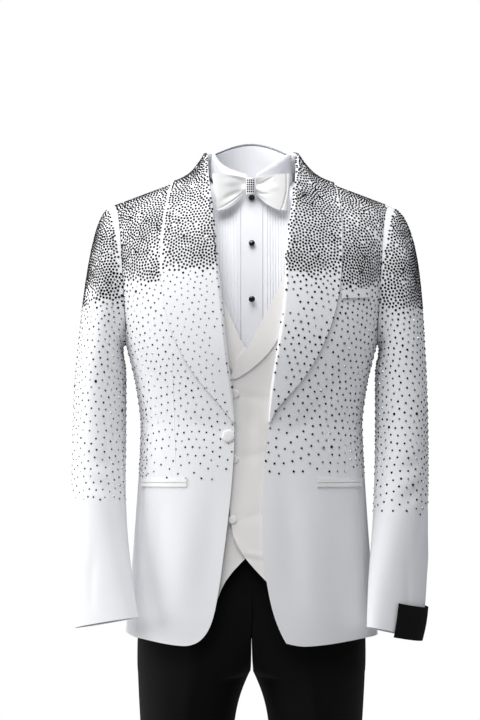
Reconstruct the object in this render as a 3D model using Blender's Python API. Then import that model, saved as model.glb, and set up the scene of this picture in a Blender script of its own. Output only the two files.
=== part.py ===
"""A worn evening suit: shawl-collared jacket, waistcoat, dress shirt, bow tie and full-length trousers.

Metres, +Z up, the front towards -Y and the wearer's left towards +X. The origin is the centre of the
neck's base, at the height where the shoulders carry the jacket. Every cloth piece is a wall with an
outer and an inner face; its outer points lie on one of four worn forms (jacket, waistcoat, shirt and
trousers) or on a sleeve, a leg or a collar that grows out of one."""

import math
from collections import namedtuple

import bpy
from mathutils import Vector

# Driving sizes ----------------------------------------------------------------------------------

SEAM_GAP = 0.0003
ON_CENTRE = 0.0002  # points this close to the centre plane belong to a centre seam
JACKET_WALL = 0.0018
COLLAR_WALL = 0.0016
WAISTCOAT_WALL = 0.0015
SHIRT_WALL = 0.0012
TROUSER_WALL = 0.0016
BAND_WALL = 0.0010

RIGHT, LEFT = -1, 1  # the wearer's sides, as the sign of X
SIDES = (("right", RIGHT), ("left", LEFT))


# Smooth tables ----------------------------------------------------------------------------------


def smooth(rows, column, at):
    """A column's value at a place in the first column, on a smooth curve that never overshoots."""
    keys = [row[0] for row in rows]
    values = [getattr(row, column) for row in rows]
    if at <= keys[0]:
        return values[0]
    if at >= keys[-1]:
        return values[-1]
    i = max(k for k in range(len(keys) - 1) if keys[k] <= at)
    rises = [(values[k + 1] - values[k]) / (keys[k + 1] - keys[k]) for k in range(len(keys) - 1)]

    def slope(k):
        if k == 0 or k == len(keys) - 1:
            return rises[min(k, len(rises) - 1)]
        before, after = rises[k - 1], rises[k]
        if before * after <= 0:
            return 0.0
        return 2 * before * after / (before + after)

    span = keys[i + 1] - keys[i]
    t = (at - keys[i]) / span
    return (
        values[i] * (2 * t**3 - 3 * t**2 + 1)
        + slope(i) * span * (t**3 - 2 * t**2 + t)
        + values[i + 1] * (3 * t**2 - 2 * t**3)
        + slope(i + 1) * span * (t**3 - t**2)
    )


def mix(a, b, share):
    return a + (b - a) * share


def ease(t):
    """0 to 1 with level ends."""
    t = min(max(t, 0.0), 1.0)
    return t * t * (3 - 2 * t)


def steps(first, last, count):
    return [mix(first, last, k / count) for k in range(count + 1)]


# Worn forms -------------------------------------------------------------------------------------

# A horizontal section: half its width, its depth in front of and behind the X axis, and how square
# its corners are (2 is an ellipse).
Section = namedtuple("Section", "height half_width front back square")

# The line where front and back meet on the shoulder, and the neck hole that interrupts it.
Ridge = namedtuple("Ridge", "tip_x tip_z slope level_by y neck_half neck_front neck_back")


# How square the arch is (2 is an ellipse) over the chest and at the shoulder's tip.
ARCH_FRONT, ARCH_TIP = 2.3, 3.1


class Form:
    """A worn surface, read by angle (0 front, 90 the wearer's left, 180 back) and height.

    Up to the armpit it is a ring at that height. Above, each place on the ring climbs an arch to the
    shoulder ridge, and its height is counted along that arch: `top` is the ridge itself."""

    def __init__(self, sections, armpit, top, ridge):
        self.sections, self.armpit, self.top, self.ridge = sections, armpit, top, ridge

    def x_at(self, angle, height):
        turn = math.sin(math.radians(angle))
        half = smooth(self.sections, "half_width", height)
        return math.copysign(half * abs(turn) ** (2 / smooth(self.sections, "square", height)), turn)

    def angle_of(self, x, height, behind=False):
        share = min(abs(x) / smooth(self.sections, "half_width", height), 1.0)
        angle = math.degrees(math.asin(share ** (smooth(self.sections, "square", height) / 2)))
        return math.copysign(180 - angle if behind else angle, x)

    @staticmethod
    def outness(angle):
        """1 at the sides, 0 in front and behind."""
        return math.sin(math.radians(angle)) ** 4

    def neck(self, x):
        """1 at the middle of the neck, 0 from its side outwards."""
        return max(0.0, 1 - (x / self.ridge.neck_half) ** 2) ** 1.5

    def ridge_z(self, x):
        ridge = self.ridge
        return ridge.tip_z + ridge.slope * (ridge.tip_x - (x**4 + ridge.level_by**4) ** 0.25)

    def place(self, angle, height):
        turn = math.cos(math.radians(angle))
        column = "front" if turn > 0 else "back"
        depth = smooth(self.sections, column, height)
        square = smooth(self.sections, "square", height)
        x = self.x_at(angle, height)
        y = -math.copysign(depth * abs(turn) ** (2 / square), turn)
        if height <= self.armpit:
            return Vector((x, y, height))
        climb = (height - self.armpit) / (self.top - self.armpit)
        rise = math.sin(climb * math.pi / 2)
        bend = mix(ARCH_FRONT, ARCH_TIP, self.outness(angle))
        level = max(0.0, 1 - rise**bend) ** (1 / bend)
        neck = self.neck(x)
        if turn > 0:
            top_y = self.ridge.y - self.ridge.neck_front * neck
        else:
            top_y = self.ridge.y + self.ridge.neck_back * neck
        level = mix(level, 1 - rise**2.2, neck)
        return Vector((x, mix(top_y, y, level), mix(self.armpit, self.ridge_z(x), rise)))

    def normal(self, angle, height):
        low, high = max(height - 0.004, -2.0), min(height + 0.004, self.top)
        across = self.place(angle + 0.6, height) - self.place(angle - 0.6, height)
        return across.cross(self.place(angle, high) - self.place(angle, low)).normalized()

    def at(self, angle, height, out=0.0):
        return self.place(angle, height) + self.normal(angle, height) * out

    def height_of(self, x, z):
        """The height at which the surface over x has this z."""
        if z <= self.armpit:
            return z
        share = min((z - self.armpit) / (self.ridge_z(x) - self.armpit), 1.0)
        return self.armpit + (self.top - self.armpit) * math.asin(share) * 2 / math.pi


ARMPIT = -0.245
JACKET = Form(
    [
        Section(-0.720, 0.201, 0.130, 0.134, 2.4),
        Section(-0.690, 0.199, 0.129, 0.133, 2.4),
        Section(-0.570, 0.187, 0.123, 0.127, 2.4),
        Section(-0.470, 0.180, 0.117, 0.108, 2.4),
        Section(-0.377, 0.1745, 0.114, 0.095, 2.4),
        Section(-0.310, 0.181, 0.120, 0.102, 2.4),
        Section(-0.245, 0.197, 0.127, 0.116, 2.45),
        Section(-0.190, 0.2110, 0.128, 0.120, 2.5),
        Section(-0.130, 0.2165, 0.126, 0.120, 2.5),
        Section(0.020, 0.2170, 0.117, 0.110, 2.4),
    ],
    ARMPIT,
    0.020,
    Ridge(0.2170, -0.0252, 0.387, 0.075, 0.008, 0.085, 0.060, 0.067),
)
WAISTCOAT = Form(
    [
        Section(-0.650, 0.186, 0.119, 0.121, 2.3),
        Section(-0.560, 0.176, 0.113, 0.114, 2.3),
        Section(-0.470, 0.166, 0.106, 0.097, 2.3),
        Section(-0.377, 0.160, 0.103, 0.084, 2.3),
        Section(-0.310, 0.166, 0.108, 0.090, 2.3),
        Section(-0.245, 0.178, 0.115, 0.102, 2.3),
        Section(-0.130, 0.182, 0.116, 0.107, 2.4),
        Section(0.020, 0.184, 0.108, 0.100, 2.4),
    ],
    ARMPIT,
    0.020,
    Ridge(0.184, -0.0215, 0.387, 0.075, 0.008, 0.085, 0.058, 0.060),
)
SHIRT = Form(
    [
        Section(-0.480, 0.143, 0.084, 0.070, 2.2),
        Section(-0.395, 0.143, 0.086, 0.070, 2.2),
        Section(-0.310, 0.155, 0.098, 0.080, 2.2),
        Section(-0.245, 0.169, 0.107, 0.093, 2.2),
        Section(-0.130, 0.173, 0.109, 0.098, 2.3),
        Section(0.020, 0.174, 0.102, 0.092, 2.3),
    ],
    ARMPIT,
    0.020,
    Ridge(0.174, -0.0225, 0.387, 0.070, 0.006, 0.070, 0.056, 0.0575),
)
HIPS = Form(
    [
        Section(-0.790, 0.181, 0.112, 0.122, 2.3),
        Section(-0.700, 0.179, 0.110, 0.121, 2.3),
        Section(-0.610, 0.174, 0.106, 0.117, 2.3),
        Section(-0.520, 0.163, 0.100, 0.103, 2.3),
        Section(-0.450, 0.154, 0.095, 0.088, 2.2),
        Section(-0.400, 0.152, 0.094, 0.080, 2.2),
    ],
    0.0,
    0.1,
    Ridge(0.15, 0.0, 0.0, 0.1, 0.0, 0.1, 0.0, 0.0),
)


# Walls ------------------------------------------------------------------------------------------

Finish = namedtuple("Finish", "name color roughness metallic")
FINISHES = {
    finish.name: finish
    for finish in (
        Finish("white_wool", (0.80, 0.82, 0.86), 0.85, 0.0),
        Finish("white_satin", (0.86, 0.86, 0.88), 0.45, 0.0),
        Finish("ivory_satin", (0.80, 0.77, 0.70), 0.50, 0.0),
        Finish("white_cotton", (0.80, 0.84, 0.92), 0.80, 0.0),
        Finish("black_wool", (0.012, 0.012, 0.014), 0.80, 0.0),
        Finish("black_enamel", (0.010, 0.010, 0.012), 0.15, 0.0),
        Finish("black_tape", (0.015, 0.015, 0.016), 0.60, 0.0),
    )
}


def material_for(name):
    found = bpy.data.materials.get(name)
    if found:
        return found
    finish = FINISHES[name]
    material = bpy.data.materials.new(name)
    material.use_nodes = True
    shader = material.node_tree.nodes["Principled BSDF"]
    shader.inputs["Base Color"].default_value = (*finish.color, 1.0)
    shader.inputs["Roughness"].default_value = finish.roughness
    shader.inputs["Metallic"].default_value = finish.metallic
    return material


def add_solid(name, points, faces, finish):
    mesh = bpy.data.meshes.new(name)
    mesh.from_pydata([tuple(point) for point in points], [], faces)
    mesh.validate()
    mesh.shade_smooth()
    mesh.set_sharp_from_angle(angle=math.radians(40))
    mesh.materials.append(material_for(finish))
    solid = bpy.data.objects.new(name, mesh)
    bpy.context.scene.collection.objects.link(solid)
    return solid


def run(line, k, wrapped=False):
    """The direction of a line of points at its k-th point, true to its curve at the ends too."""
    count = len(line)
    if wrapped:
        return line[(k + 1) % count] - line[(k - 1) % count]
    if 0 < k < count - 1:
        return line[k + 1] - line[k - 1]
    if count == 2:
        return line[1] - line[0]
    if k == 0:
        return line[1] * 4 - line[0] * 3 - line[2]
    return line[-1] * 3 - line[-2] * 4 + line[-3]


def normals_of(grid, wrapped=False):
    """Outward normals of a grid whose rows climb and whose columns run from the front round +X."""
    columns = list(zip(*grid))
    normals = [
        [run(row, c, wrapped).cross(run(columns[c], r)).normalized() for c in range(len(row))]
        for r, row in enumerate(grid)
    ]
    for row, line in zip(grid, normals):
        for point, normal in zip(row, line):
            if abs(point.x) < ON_CENTRE:
                normal.x = 0.0
    return normals


def moved_out(grid, distance, wrapped=False, normals=None):
    """The grid's points moved along their normals."""
    return [
        [point + normal * distance for point, normal in zip(row, line)]
        for row, line in zip(grid, normals or normals_of(grid, wrapped))
    ]


def trimmed(grid, by=SEAM_GAP / 2, wrapped=False):
    """The grid drawn back from its own edges along the surface, to leave half a seam's gap."""
    rows = [[point.copy() for point in row] for row in grid]
    last = len(grid) - 1
    for c in range(len(grid[0])):
        for end, inner in ((0, 1), (last, last - 1)):
            rows[end][c] += (grid[inner][c] - grid[end][c]).normalized() * by
    if not wrapped:
        side = len(grid[0]) - 1
        for r in range(len(grid)):
            for end, inner in ((0, 1), (side, side - 1)):
                rows[r][end] += (grid[r][inner] - grid[r][end]).normalized() * by
    return rows


def wall(name, grid, thickness, finish, wrapped=False, normals=None, plain=None):
    """A closed wall: the grid is its outer face, and its inner face lies a thickness inside. Pieces
    that share a seam are given the normals of the whole, so that their inner edges stay parted, and
    a pleated piece is given the plain grid that its inner face follows."""
    outer = trimmed(grid, wrapped=wrapped)
    inner = moved_out(trimmed(plain or grid, wrapped=wrapped), -thickness, wrapped, normals)
    rows, columns = len(outer), len(outer[0])
    points = [point for row in outer for point in row] + [point for row in inner for point in row]
    shift = rows * columns

    def out(r, c):
        return r * columns + c % columns

    def inside(r, c):
        return shift + out(r, c)

    faces = []
    for r in range(rows - 1):
        for c in range(columns if wrapped else columns - 1):
            faces.append((out(r, c), out(r, c + 1), out(r + 1, c + 1), out(r + 1, c)))
            faces.append((inside(r, c), inside(r + 1, c), inside(r + 1, c + 1), inside(r, c + 1)))
    for c in range(columns if wrapped else columns - 1):
        faces.append((out(0, c), inside(0, c), inside(0, c + 1), out(0, c + 1)))
        top = rows - 1
        faces.append((out(top, c), out(top, c + 1), inside(top, c + 1), inside(top, c)))
    if not wrapped:
        end = columns - 1
        for r in range(rows - 1):
            faces.append((out(r, 0), out(r + 1, 0), inside(r + 1, 0), inside(r, 0)))
            faces.append((out(r, end), inside(r, end), inside(r + 1, end), out(r + 1, end)))
    return add_solid(name, points, faces, finish)


def facing(rows, side):
    """Rows that were laid out from the centre front outwards, turned so that columns run towards +X."""
    return [row[::-1] for row in rows] if side == RIGHT else rows


# Jacket body ------------------------------------------------------------------------------------

# Where the roll line and then the front edge run, seen from the front, one table for each side.
Edge = namedtuple("Edge", "z x")
FRONT_EDGE = {
    RIGHT: [
        Edge(-0.700, 0.0960),
        Edge(-0.6967, 0.0831),
        Edge(-0.685, 0.0703),
        Edge(-0.667, 0.0612),
        Edge(-0.641, 0.0538),
        Edge(-0.562, 0.0428),
        Edge(-0.472, 0.0318),
        Edge(-0.417, 0.0272),
        Edge(-0.362, 0.0253),
        Edge(-0.3155, 0.0282),
        Edge(-0.267, 0.0359),
        Edge(-0.2033, 0.0419),
        Edge(-0.1153, 0.0515),
        Edge(-0.0628, 0.0570),
        Edge(-0.0200, 0.0610),
        Edge(0.0107, 0.0648),
        Edge(0.0586, 0.0682),
    ],
    LEFT: [
        Edge(-0.701, 0.0723),
        Edge(-0.699, 0.0561),
        Edge(-0.6897, 0.0479),
        Edge(-0.6715, 0.0399),
        Edge(-0.652, 0.0317),
        Edge(-0.600, 0.0206),
        Edge(-0.529, 0.0155),
        Edge(-0.446, 0.0176),
        Edge(-0.4095, 0.0250),
        Edge(-0.373, 0.0247),
        Edge(-0.323, 0.0267),
        Edge(-0.2715, 0.0338),
        Edge(-0.2125, 0.0438),
        Edge(-0.158, 0.0496),
        Edge(-0.109, 0.0508),
        Edge(-0.0502, 0.0568),
        Edge(0.0107, 0.0665),
        Edge(0.0586, 0.0682),
    ],
}
# The shawl's outer edge, from where it starts at the front edge up to the shoulder ridge.
SHAWL_EDGE = {
    RIGHT: [
        Edge(-0.366, 0.0257),
        Edge(-0.345, 0.0390),
        Edge(-0.3147, 0.0660),
        Edge(-0.2843, 0.0910),
        Edge(-0.2519, 0.1090),
        Edge(-0.2107, 0.1260),
        Edge(-0.162, 0.1375),
        Edge(-0.1095, 0.1400),
        Edge(-0.0500, 0.1350),
        Edge(0.0060, 0.1235),
    ],
    LEFT: [
        Edge(-0.3564, 0.0247),
        Edge(-0.337, 0.0379),
        Edge(-0.3147, 0.0621),
        Edge(-0.2843, 0.0865),
        Edge(-0.2519, 0.1038),
        Edge(-0.2107, 0.1214),
        Edge(-0.162, 0.1333),
        Edge(-0.109, 0.1372),
        Edge(-0.0790, 0.1386),
        Edge(0.0020, 0.1300),
    ],
}
# The hem at the centre front, at the two side seams and at the centre back, and midway between the seams.
HEM_FRONT, HEM_SIDE, HEM_BEHIND, HEM_BACK = -0.701, -0.6935, -0.6985, -0.708
HEM_ASIDE = {RIGHT: -0.6890, LEFT: -0.6950}
# Heights of the rows that the body panels share, so that their seams follow the same points.
BODY_HEIGHTS = [-0.650, -0.600, -0.550, -0.495, -0.432, -0.366, -0.3602, -0.320, -0.287, -0.255]
SEAM_TOP = -0.226  # where the side seams end; between them the armhole's floor runs under the arm
ARMHOLE_HEIGHTS = [-0.196, -0.164, -0.128, -0.092, -0.055, -0.022, 0.004]

# The side seams, as angles round the form, and the armhole's two edges above them.
Seam = namedtuple("Seam", "height front back")
SIDE_SEAMS = [
    Seam(-0.720, 62, 117),
    Seam(-0.377, 64, 119),
    Seam(-0.226, 72, 111),
    Seam(-0.194, 67, 116),
    Seam(-0.155, 65, 119),
    Seam(-0.110, 66.5, 120),
    Seam(-0.050, 71.5, 115),
    Seam(-0.010, 77, 108),
    Seam(0.008, 82, 100),
    Seam(0.020, 90, 90),
]
NECK_POINT_X = 0.087
BACK_NECK_Z = 0.022
SHOULDER_SEAM = JACKET.top - 0.0005  # each panel stops just short of the ridge


def armhole_floor(angle):
    """The height of the armhole's edge under the arm."""
    front = smooth(SIDE_SEAMS, "front", SEAM_TOP)
    back = smooth(SIDE_SEAMS, "back", SEAM_TOP)
    share = (angle - front) / (back - front)
    return SEAM_TOP - (SEAM_TOP - ARMPIT) * math.sin(math.pi * share)


def edge_x(side, z):
    return smooth(FRONT_EDGE[side], "x", z)


def z_at(form, x, height):
    """The z of the surface over x at a height counted along the form."""
    if height <= form.armpit:
        return height
    climb = (height - form.armpit) / (form.top - form.armpit)
    return mix(form.armpit, form.ridge_z(x), math.sin(climb * math.pi / 2))


# How far the collar's roll stands off the jacket form, by height: it starts above the waist and
# grows into the stand at the neck. `inset` is how far the body's own edge stays inside the fold.
Roll = namedtuple("Roll", "height forward up inset")
ROLL = [
    Roll(-0.3602, 0.0000, 0.0000, 0.0026),
    Roll(-0.3200, 0.0000, 0.0000, 0.0060),
    Roll(-0.1920, 0.0000, 0.0000, 0.0060),
    Roll(-0.1655, 0.0020, 0.0020, 0.0062),
    Roll(-0.1390, 0.0050, 0.0060, 0.0068),
    Roll(-0.1125, 0.0070, 0.0110, 0.0090),
    Roll(-0.0860, 0.0070, 0.0150, 0.0130),
    Roll(-0.0595, 0.0050, 0.0164, 0.0160),
    Roll(-0.0330, 0.0030, 0.0186, 0.0180),
    Roll(-0.0065, 0.0000, 0.0236, 0.0190),
    Roll(0.0200, -0.0150, 0.0319, 0.0200),
]
SHAWL_START, SHAWL_MIDDLE = -0.3604, -0.342


def roll_x(side, height):
    """How far from the centre the roll line, and below it the front edge, runs at a height."""
    z = z_at(JACKET, 0.060, height) + smooth(ROLL, "up", height)
    return edge_x(side, z)


def shawl_x(side, height):
    """How far from the centre the shawl's outer edge runs at a height."""
    rows = [Edge(JACKET.height_of(row.x, row.z), row.x) for row in SHAWL_EDGE[side]]
    return smooth(rows, "x", height)


def rows_from(hem, corner=(0.0,)):
    """The heights of a panel's rows over one column, from its hem to the shoulder seam."""
    low = [mix(hem, BODY_HEIGHTS[0], share) for share in corner]
    return low + BODY_HEIGHTS + [SEAM_TOP] + ARMHOLE_HEIGHTS + [SHOULDER_SEAM]


ROUND_CORNER = [1 - math.cos(math.radians(a)) for a in (0, 26, 47, 68)]


def jacket_front(name, side):
    columns = []
    for share in steps(0.0, 1.0, 10):
        hem = mix(HEM_FRONT, HEM_SIDE, ease(share))
        column = []
        for height, edge_height in zip(rows_from(hem, ROUND_CORNER), rows_from(HEM_FRONT, ROUND_CORNER)):
            inner_x = roll_x(side, edge_height)
            if edge_height > SHAWL_START:
                inner_x += smooth(ROLL, "inset", edge_height)
            inner = JACKET.angle_of(inner_x, height)
            outer = smooth(SIDE_SEAMS, "front", height)
            column.append(JACKET.at(side * mix(inner, outer, share), height))
        columns.append(column)
    rows = [list(row) for row in zip(*columns)]
    return wall(f"jacket_front_{name}", facing(rows, side), JACKET_WALL, "white_wool")


def floor_angles():
    """Where the side panel's columns meet the armhole's floor."""
    front = smooth(SIDE_SEAMS, "front", SEAM_TOP)
    back = smooth(SIDE_SEAMS, "back", SEAM_TOP)
    return steps(front, back, 5)


def jacket_side(name, side):
    rows = []
    hems = steps(HEM_SIDE, HEM_ASIDE[side], 2) + steps(HEM_ASIDE[side], HEM_BEHIND, 3)[1:]
    for height in [None] + BODY_HEIGHTS + [SEAM_TOP]:
        row = []
        for k, top_angle in enumerate(floor_angles()):
            level = hems[k] if height is None else height
            front, back = smooth(SIDE_SEAMS, "front", level), smooth(SIDE_SEAMS, "back", level)
            drop = SEAM_TOP - armhole_floor(top_angle)
            lowered = level - drop * ease((level - BODY_HEIGHTS[-4]) / (SEAM_TOP - BODY_HEIGHTS[-4]))
            row.append(JACKET.at(side * mix(front, back, k / 5), lowered))
        rows.append(row)
    return wall(f"jacket_side_{name}", facing(rows, side), JACKET_WALL, "white_wool")


def back_neck_height(x):
    """The height of the neck seam across the back."""
    share = min(abs(x) / NECK_POINT_X, 1.0)
    return mix(JACKET.height_of(0.0, BACK_NECK_Z), SHOULDER_SEAM, share**2.5)


# Where the back's columns meet the shoulder seam and then the neck seam, from the tip inwards.
BACK_TOP_X = (0.2170, 0.167, 0.125, NECK_POINT_X + 0.0008, 0.0755, 0.0590, 0.0360, 0.0130, 0.0)


def jacket_back(name, side):
    columns = []
    for k, neck_x in enumerate(BACK_TOP_X):  # from the side seam or armhole to the centre back
        even = k / (len(BACK_TOP_X) - 1)
        shrink = (back_neck_height(neck_x) - SEAM_TOP) / (SHOULDER_SEAM - SEAM_TOP)
        column = []
        for level in rows_from(mix(HEM_BEHIND, HEM_BACK, even)):
            height = level if level <= SEAM_TOP else SEAM_TOP + (level - SEAM_TOP) * shrink
            angle = mix(smooth(SIDE_SEAMS, "back", height), 180.0, even)
            if k:
                near_neck = ease((level - SEAM_TOP) / (ARMHOLE_HEIGHTS[-2] - SEAM_TOP))
                angle = mix(angle, JACKET.angle_of(neck_x, height, behind=True), near_neck)
            column.append(JACKET.at(side * angle, height))
        columns.append(column)
    rows = [list(row) for row in zip(*columns)]
    return wall(f"jacket_back_{name}", facing(rows, side), JACKET_WALL, "white_wool")


# Sleeves ----------------------------------------------------------------------------------------

# A ring of the sleeve: its middle, its half sizes across and front to back, and how far its inner
# edge is turned to the front, in degrees.
Arm = namedtuple("Arm", "z x y half_across half_deep turn")
ARMS = {
    RIGHT: [
        Arm(-0.669, 0.2232, -0.088, 0.0530, 0.0405, 20),
        Arm(-0.580, 0.2325, -0.062, 0.0475, 0.0470, 12),
        Arm(-0.480, 0.2385, -0.030, 0.0425, 0.0550, 4),
        Arm(-0.385, 0.2385, -0.008, 0.0425, 0.0620, 0),
        Arm(-0.285, 0.2365, 0.003, 0.0405, 0.0680, 0),
    ],
    LEFT: [
        Arm(-0.684, 0.2175, -0.090, 0.0440, 0.0405, 20),
        Arm(-0.650, 0.2225, -0.080, 0.0485, 0.0420, 18),
        Arm(-0.580, 0.2260, -0.060, 0.0465, 0.0470, 12),
        Arm(-0.480, 0.2335, -0.030, 0.0435, 0.0550, 4),
        Arm(-0.385, 0.2355, -0.008, 0.0420, 0.0620, 0),
        Arm(-0.285, 0.2345, 0.003, 0.0405, 0.0680, 0),
    ],
}
# How much lower the cuff hangs on its outer side, per metre across, and behind, per metre of depth.
CUFF_SLOPE, CUFF_TILT = {RIGHT: 0.14, LEFT: 0.18}, 0.16
ARM_TOP = -0.285

# How a sleeve falls from the shoulder's tip, as shares of the way down to the arm's first ring: how far
# it goes straight out, how far it already hangs straight, and how much it leans out on that way.
Cap = namedtuple("Cap", "lead drop lean")
CAPS = {RIGHT: Cap(0.095, 0.80, 0.10), LEFT: Cap(0.187, 0.40, 0.05)}
UNDER_CAP = Cap(0.30, 0.34, 0.0)  # the same under the arm
FULLNESS, ROPING = 0.22, -0.05  # how far the cap swells from its seam at the front, and at the tip


def armhole():
    """The armhole's points, as (turn, angle, height): turn 0 at the shoulder tip, 90 in front, 180
    under the arm, 270 behind. They are the points that the body panels have there."""
    levels = [SHOULDER_SEAM] + ARMHOLE_HEIGHTS[::-1] + [SEAM_TOP]
    turns = steps(0.0, 135.0, len(levels) - 1)
    points = [(0.0, 90.0, JACKET.top)]
    for turn, height in list(zip(turns, levels))[1:]:
        points.append((turn, smooth(SIDE_SEAMS, "front", height), height))
    floor = floor_angles()
    for turn, angle in list(zip(steps(135.0, 225.0, len(floor) - 1), floor))[1:-1]:
        points.append((turn, angle, armhole_floor(angle)))
    for turn, height in list(zip(turns, levels))[:0:-1]:
        points.append((360.0 - turn, smooth(SIDE_SEAMS, "back", height), height))
    return points


def arm_point(side, turn, z):
    """A point of the sleeve below the armhole: turn 0 outside, 90 in front, 180 inside, 270 behind."""
    arm = {column: smooth(ARMS[side], column, z) for column in Arm._fields[1:]}
    around = math.radians(turn)
    across = arm["half_across"] * math.cos(around)
    deep = -arm["half_deep"] * math.sin(around)
    tilt = math.radians(arm["turn"])
    x = across * math.cos(tilt) + deep * math.sin(tilt)
    y = across * math.sin(tilt) + deep * math.cos(tilt)
    return Vector((side * (arm["x"] + x), arm["y"] + y, z))


def bezier(a, b, c, d, t):
    s = 1 - t
    return a * s**3 + b * (3 * s * s * t) + c * (3 * s * t * t) + d * t**3


CAP_CORE = (0.196, 0.010, -0.130)  # the middle of the arm's top, on the wearer's left


def cap_point(side, opening, t):
    """A point between the armhole, at 0, and the arm's first ring, at 1."""
    turn, angle, height = opening
    centre = Vector((side * CAP_CORE[0], *CAP_CORE[1:]))
    start = JACKET.at(side * angle, height)
    end = arm_point(side, turn, ARM_TOP)
    away = start - centre
    away.x = 0
    crown = math.cos(math.radians(turn / 2)) ** 2
    swell = mix(FULLNESS, ROPING, crown**3)
    leave = (Vector((side, 0, 0)) + away.normalized() * swell).normalized()
    start = start + leave * SEAM_GAP * 1.5
    reach = (end - start).length
    lead, drop, lean = (mix(low, high, crown) for low, high in zip(UNDER_CAP, CAPS[side]))
    hang = Vector((-side * lean, 0, 1)) * drop * reach
    return bezier(start, start + leave * lead * reach, end + hang, end, t)


SLEEVE_HEIGHTS = (-0.630, -0.575, -0.520, -0.458, -0.396, -0.338)
SLOPE_FROM = -0.535  # where the rows start to lean towards the cuff's slope
CAP_SHARES = (1.0, 0.82, 0.64, 0.47, 0.31, 0.17, 0.06, 0.0)


def sleeve_rows(side, openings):
    """Rows from the cuff up to the armhole, over the given armhole points."""
    rows = []
    cuff = ARMS[side][0]
    for z in (cuff.z, *SLEEVE_HEIGHTS):
        near_cuff = max(0.0, (z - SLOPE_FROM) / (cuff.z - SLOPE_FROM))
        row = []
        for turn, _, _ in openings:
            point = arm_point(side, turn, z)
            out, behind = abs(point.x) - cuff.x, point.y - cuff.y
            point.z -= (out * CUFF_SLOPE[side] + behind * CUFF_TILT) * near_cuff
            row.append(point)
        rows.append(row)
    for t in CAP_SHARES:
        rows.append([cap_point(side, opening, t) for opening in openings])
    return rows


FRONT_SEAM_TURN, BACK_SEAM_TURN = 153.0, 225.0  # the sleeve's seams, as turns from the crown


def sleeve(name, side):
    """Two pieces: the upper sleeve goes round the outside, the under sleeve lies against the body."""
    points = armhole()
    turns = [point[0] for point in points]
    rows = sleeve_rows(side, points)
    if side == RIGHT:
        normals = normals_of(rows, wrapped=True)
    else:
        normals = [[-n for n in line] for line in normals_of(rows, wrapped=True)]
    front, back = turns.index(FRONT_SEAM_TURN), turns.index(BACK_SEAM_TURN)
    under = list(range(front, back + 1))
    upper = list(range(back, len(turns))) + list(range(front + 1))
    for piece, picks in (("upper_sleeve", upper), ("under_sleeve", under)):
        if side == LEFT:
            picks = picks[::-1]
        grid = [[row[k] for k in picks] for row in rows]
        facing_out = [[line[k] for k in picks] for line in normals]
        wall(f"{piece}_{name}", grid, JACKET_WALL, "white_wool", normals=facing_out)


# Shawl collar -----------------------------------------------------------------------------------

# Behind the shoulder, by degrees from the shoulder ridge round to the centre back: how the roll
# stands off the jacket form.
Stand = namedtuple("Stand", "turn behind up")
STAND = [
    Stand(0, -0.0130, 0.0319),
    Stand(30, 0.0090, 0.0340),
    Stand(60, 0.0070, 0.0335),
    Stand(90, 0.0020, 0.0330),
]
ROLL_X = 0.0685  # the roll's distance from the centre at the side of the neck
SHAWL_RIDGE_X = {RIGHT: 0.1250, LEFT: 0.1300}
SHAWL_BACK_Z = 0.004
FOLD_OUT = 0.0038  # the collar's outer face over the jacket form
FOLD_IN = 0.0048  # its return's face under the form, behind the jacket's wall
RETURN_WIDTH = 0.013
NOSE = 0.0030  # how far the roll's nose stands beyond the start of the fall
POINT_WIDTH = 0.0012  # how far the fall reaches past the body's edge where the collar ends
FALL_SHARES = (0.0, 0.12, 0.30, 0.52, 0.76, 1.0)


def front_nose(height):
    """The nose's reach over a height of the front: it shrinks to nothing at the collar's point."""
    return min(NOSE, smooth(ROLL, "inset", height) / 2)


def front_station(side, height):
    """The fold over one height of the front: places from the roll out to the edge, and its lift."""
    seam = roll_x(side, height) + smooth(ROLL, "inset", height)
    nose = front_nose(height)
    inner = roll_x(side, height) + nose + 0.0002
    outer = max(shawl_x(side, height), seam + POINT_WIDTH)
    lift = Vector((0, -smooth(ROLL, "forward", height), smooth(ROLL, "up", height)))
    return [(x, height) for x in (inner, seam, outer)], lift, 0.68, False, nose


def back_station(side, turn):
    """The fold over one turn round the back of the neck."""
    around, across = math.sin(math.radians(turn)), math.cos(math.radians(turn))
    seam_x = NECK_POINT_X * across**0.9
    outer_x = SHAWL_RIDGE_X[side] * across**0.85
    low = mix(JACKET.top, JACKET.height_of(0.0, SHAWL_BACK_Z), around**1.3)
    places = [(ROLL_X * across, JACKET.top), (seam_x, back_neck_height(seam_x)), (outer_x, low)]
    lift = Vector((0, smooth(STAND, "behind", turn), smooth(STAND, "up", turn)))
    return places, lift, mix(0.68, 1.0, around), True, NOSE


def on_path(places, share):
    """A place part of the way along the roll, seam and edge."""
    (x0, h0), (x1, h1), (x2, h2) = places
    first = math.hypot(x1 - x0, h1 - h0)
    second = math.hypot(x2 - x1, h2 - h1)
    reach = share * (first + second)
    if reach <= first:
        t = reach / first
        return mix(x0, x1, t), mix(h0, h1, t)
    t = (reach - first) / second
    return mix(x1, x2, t), mix(h1, h2, t)


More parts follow.
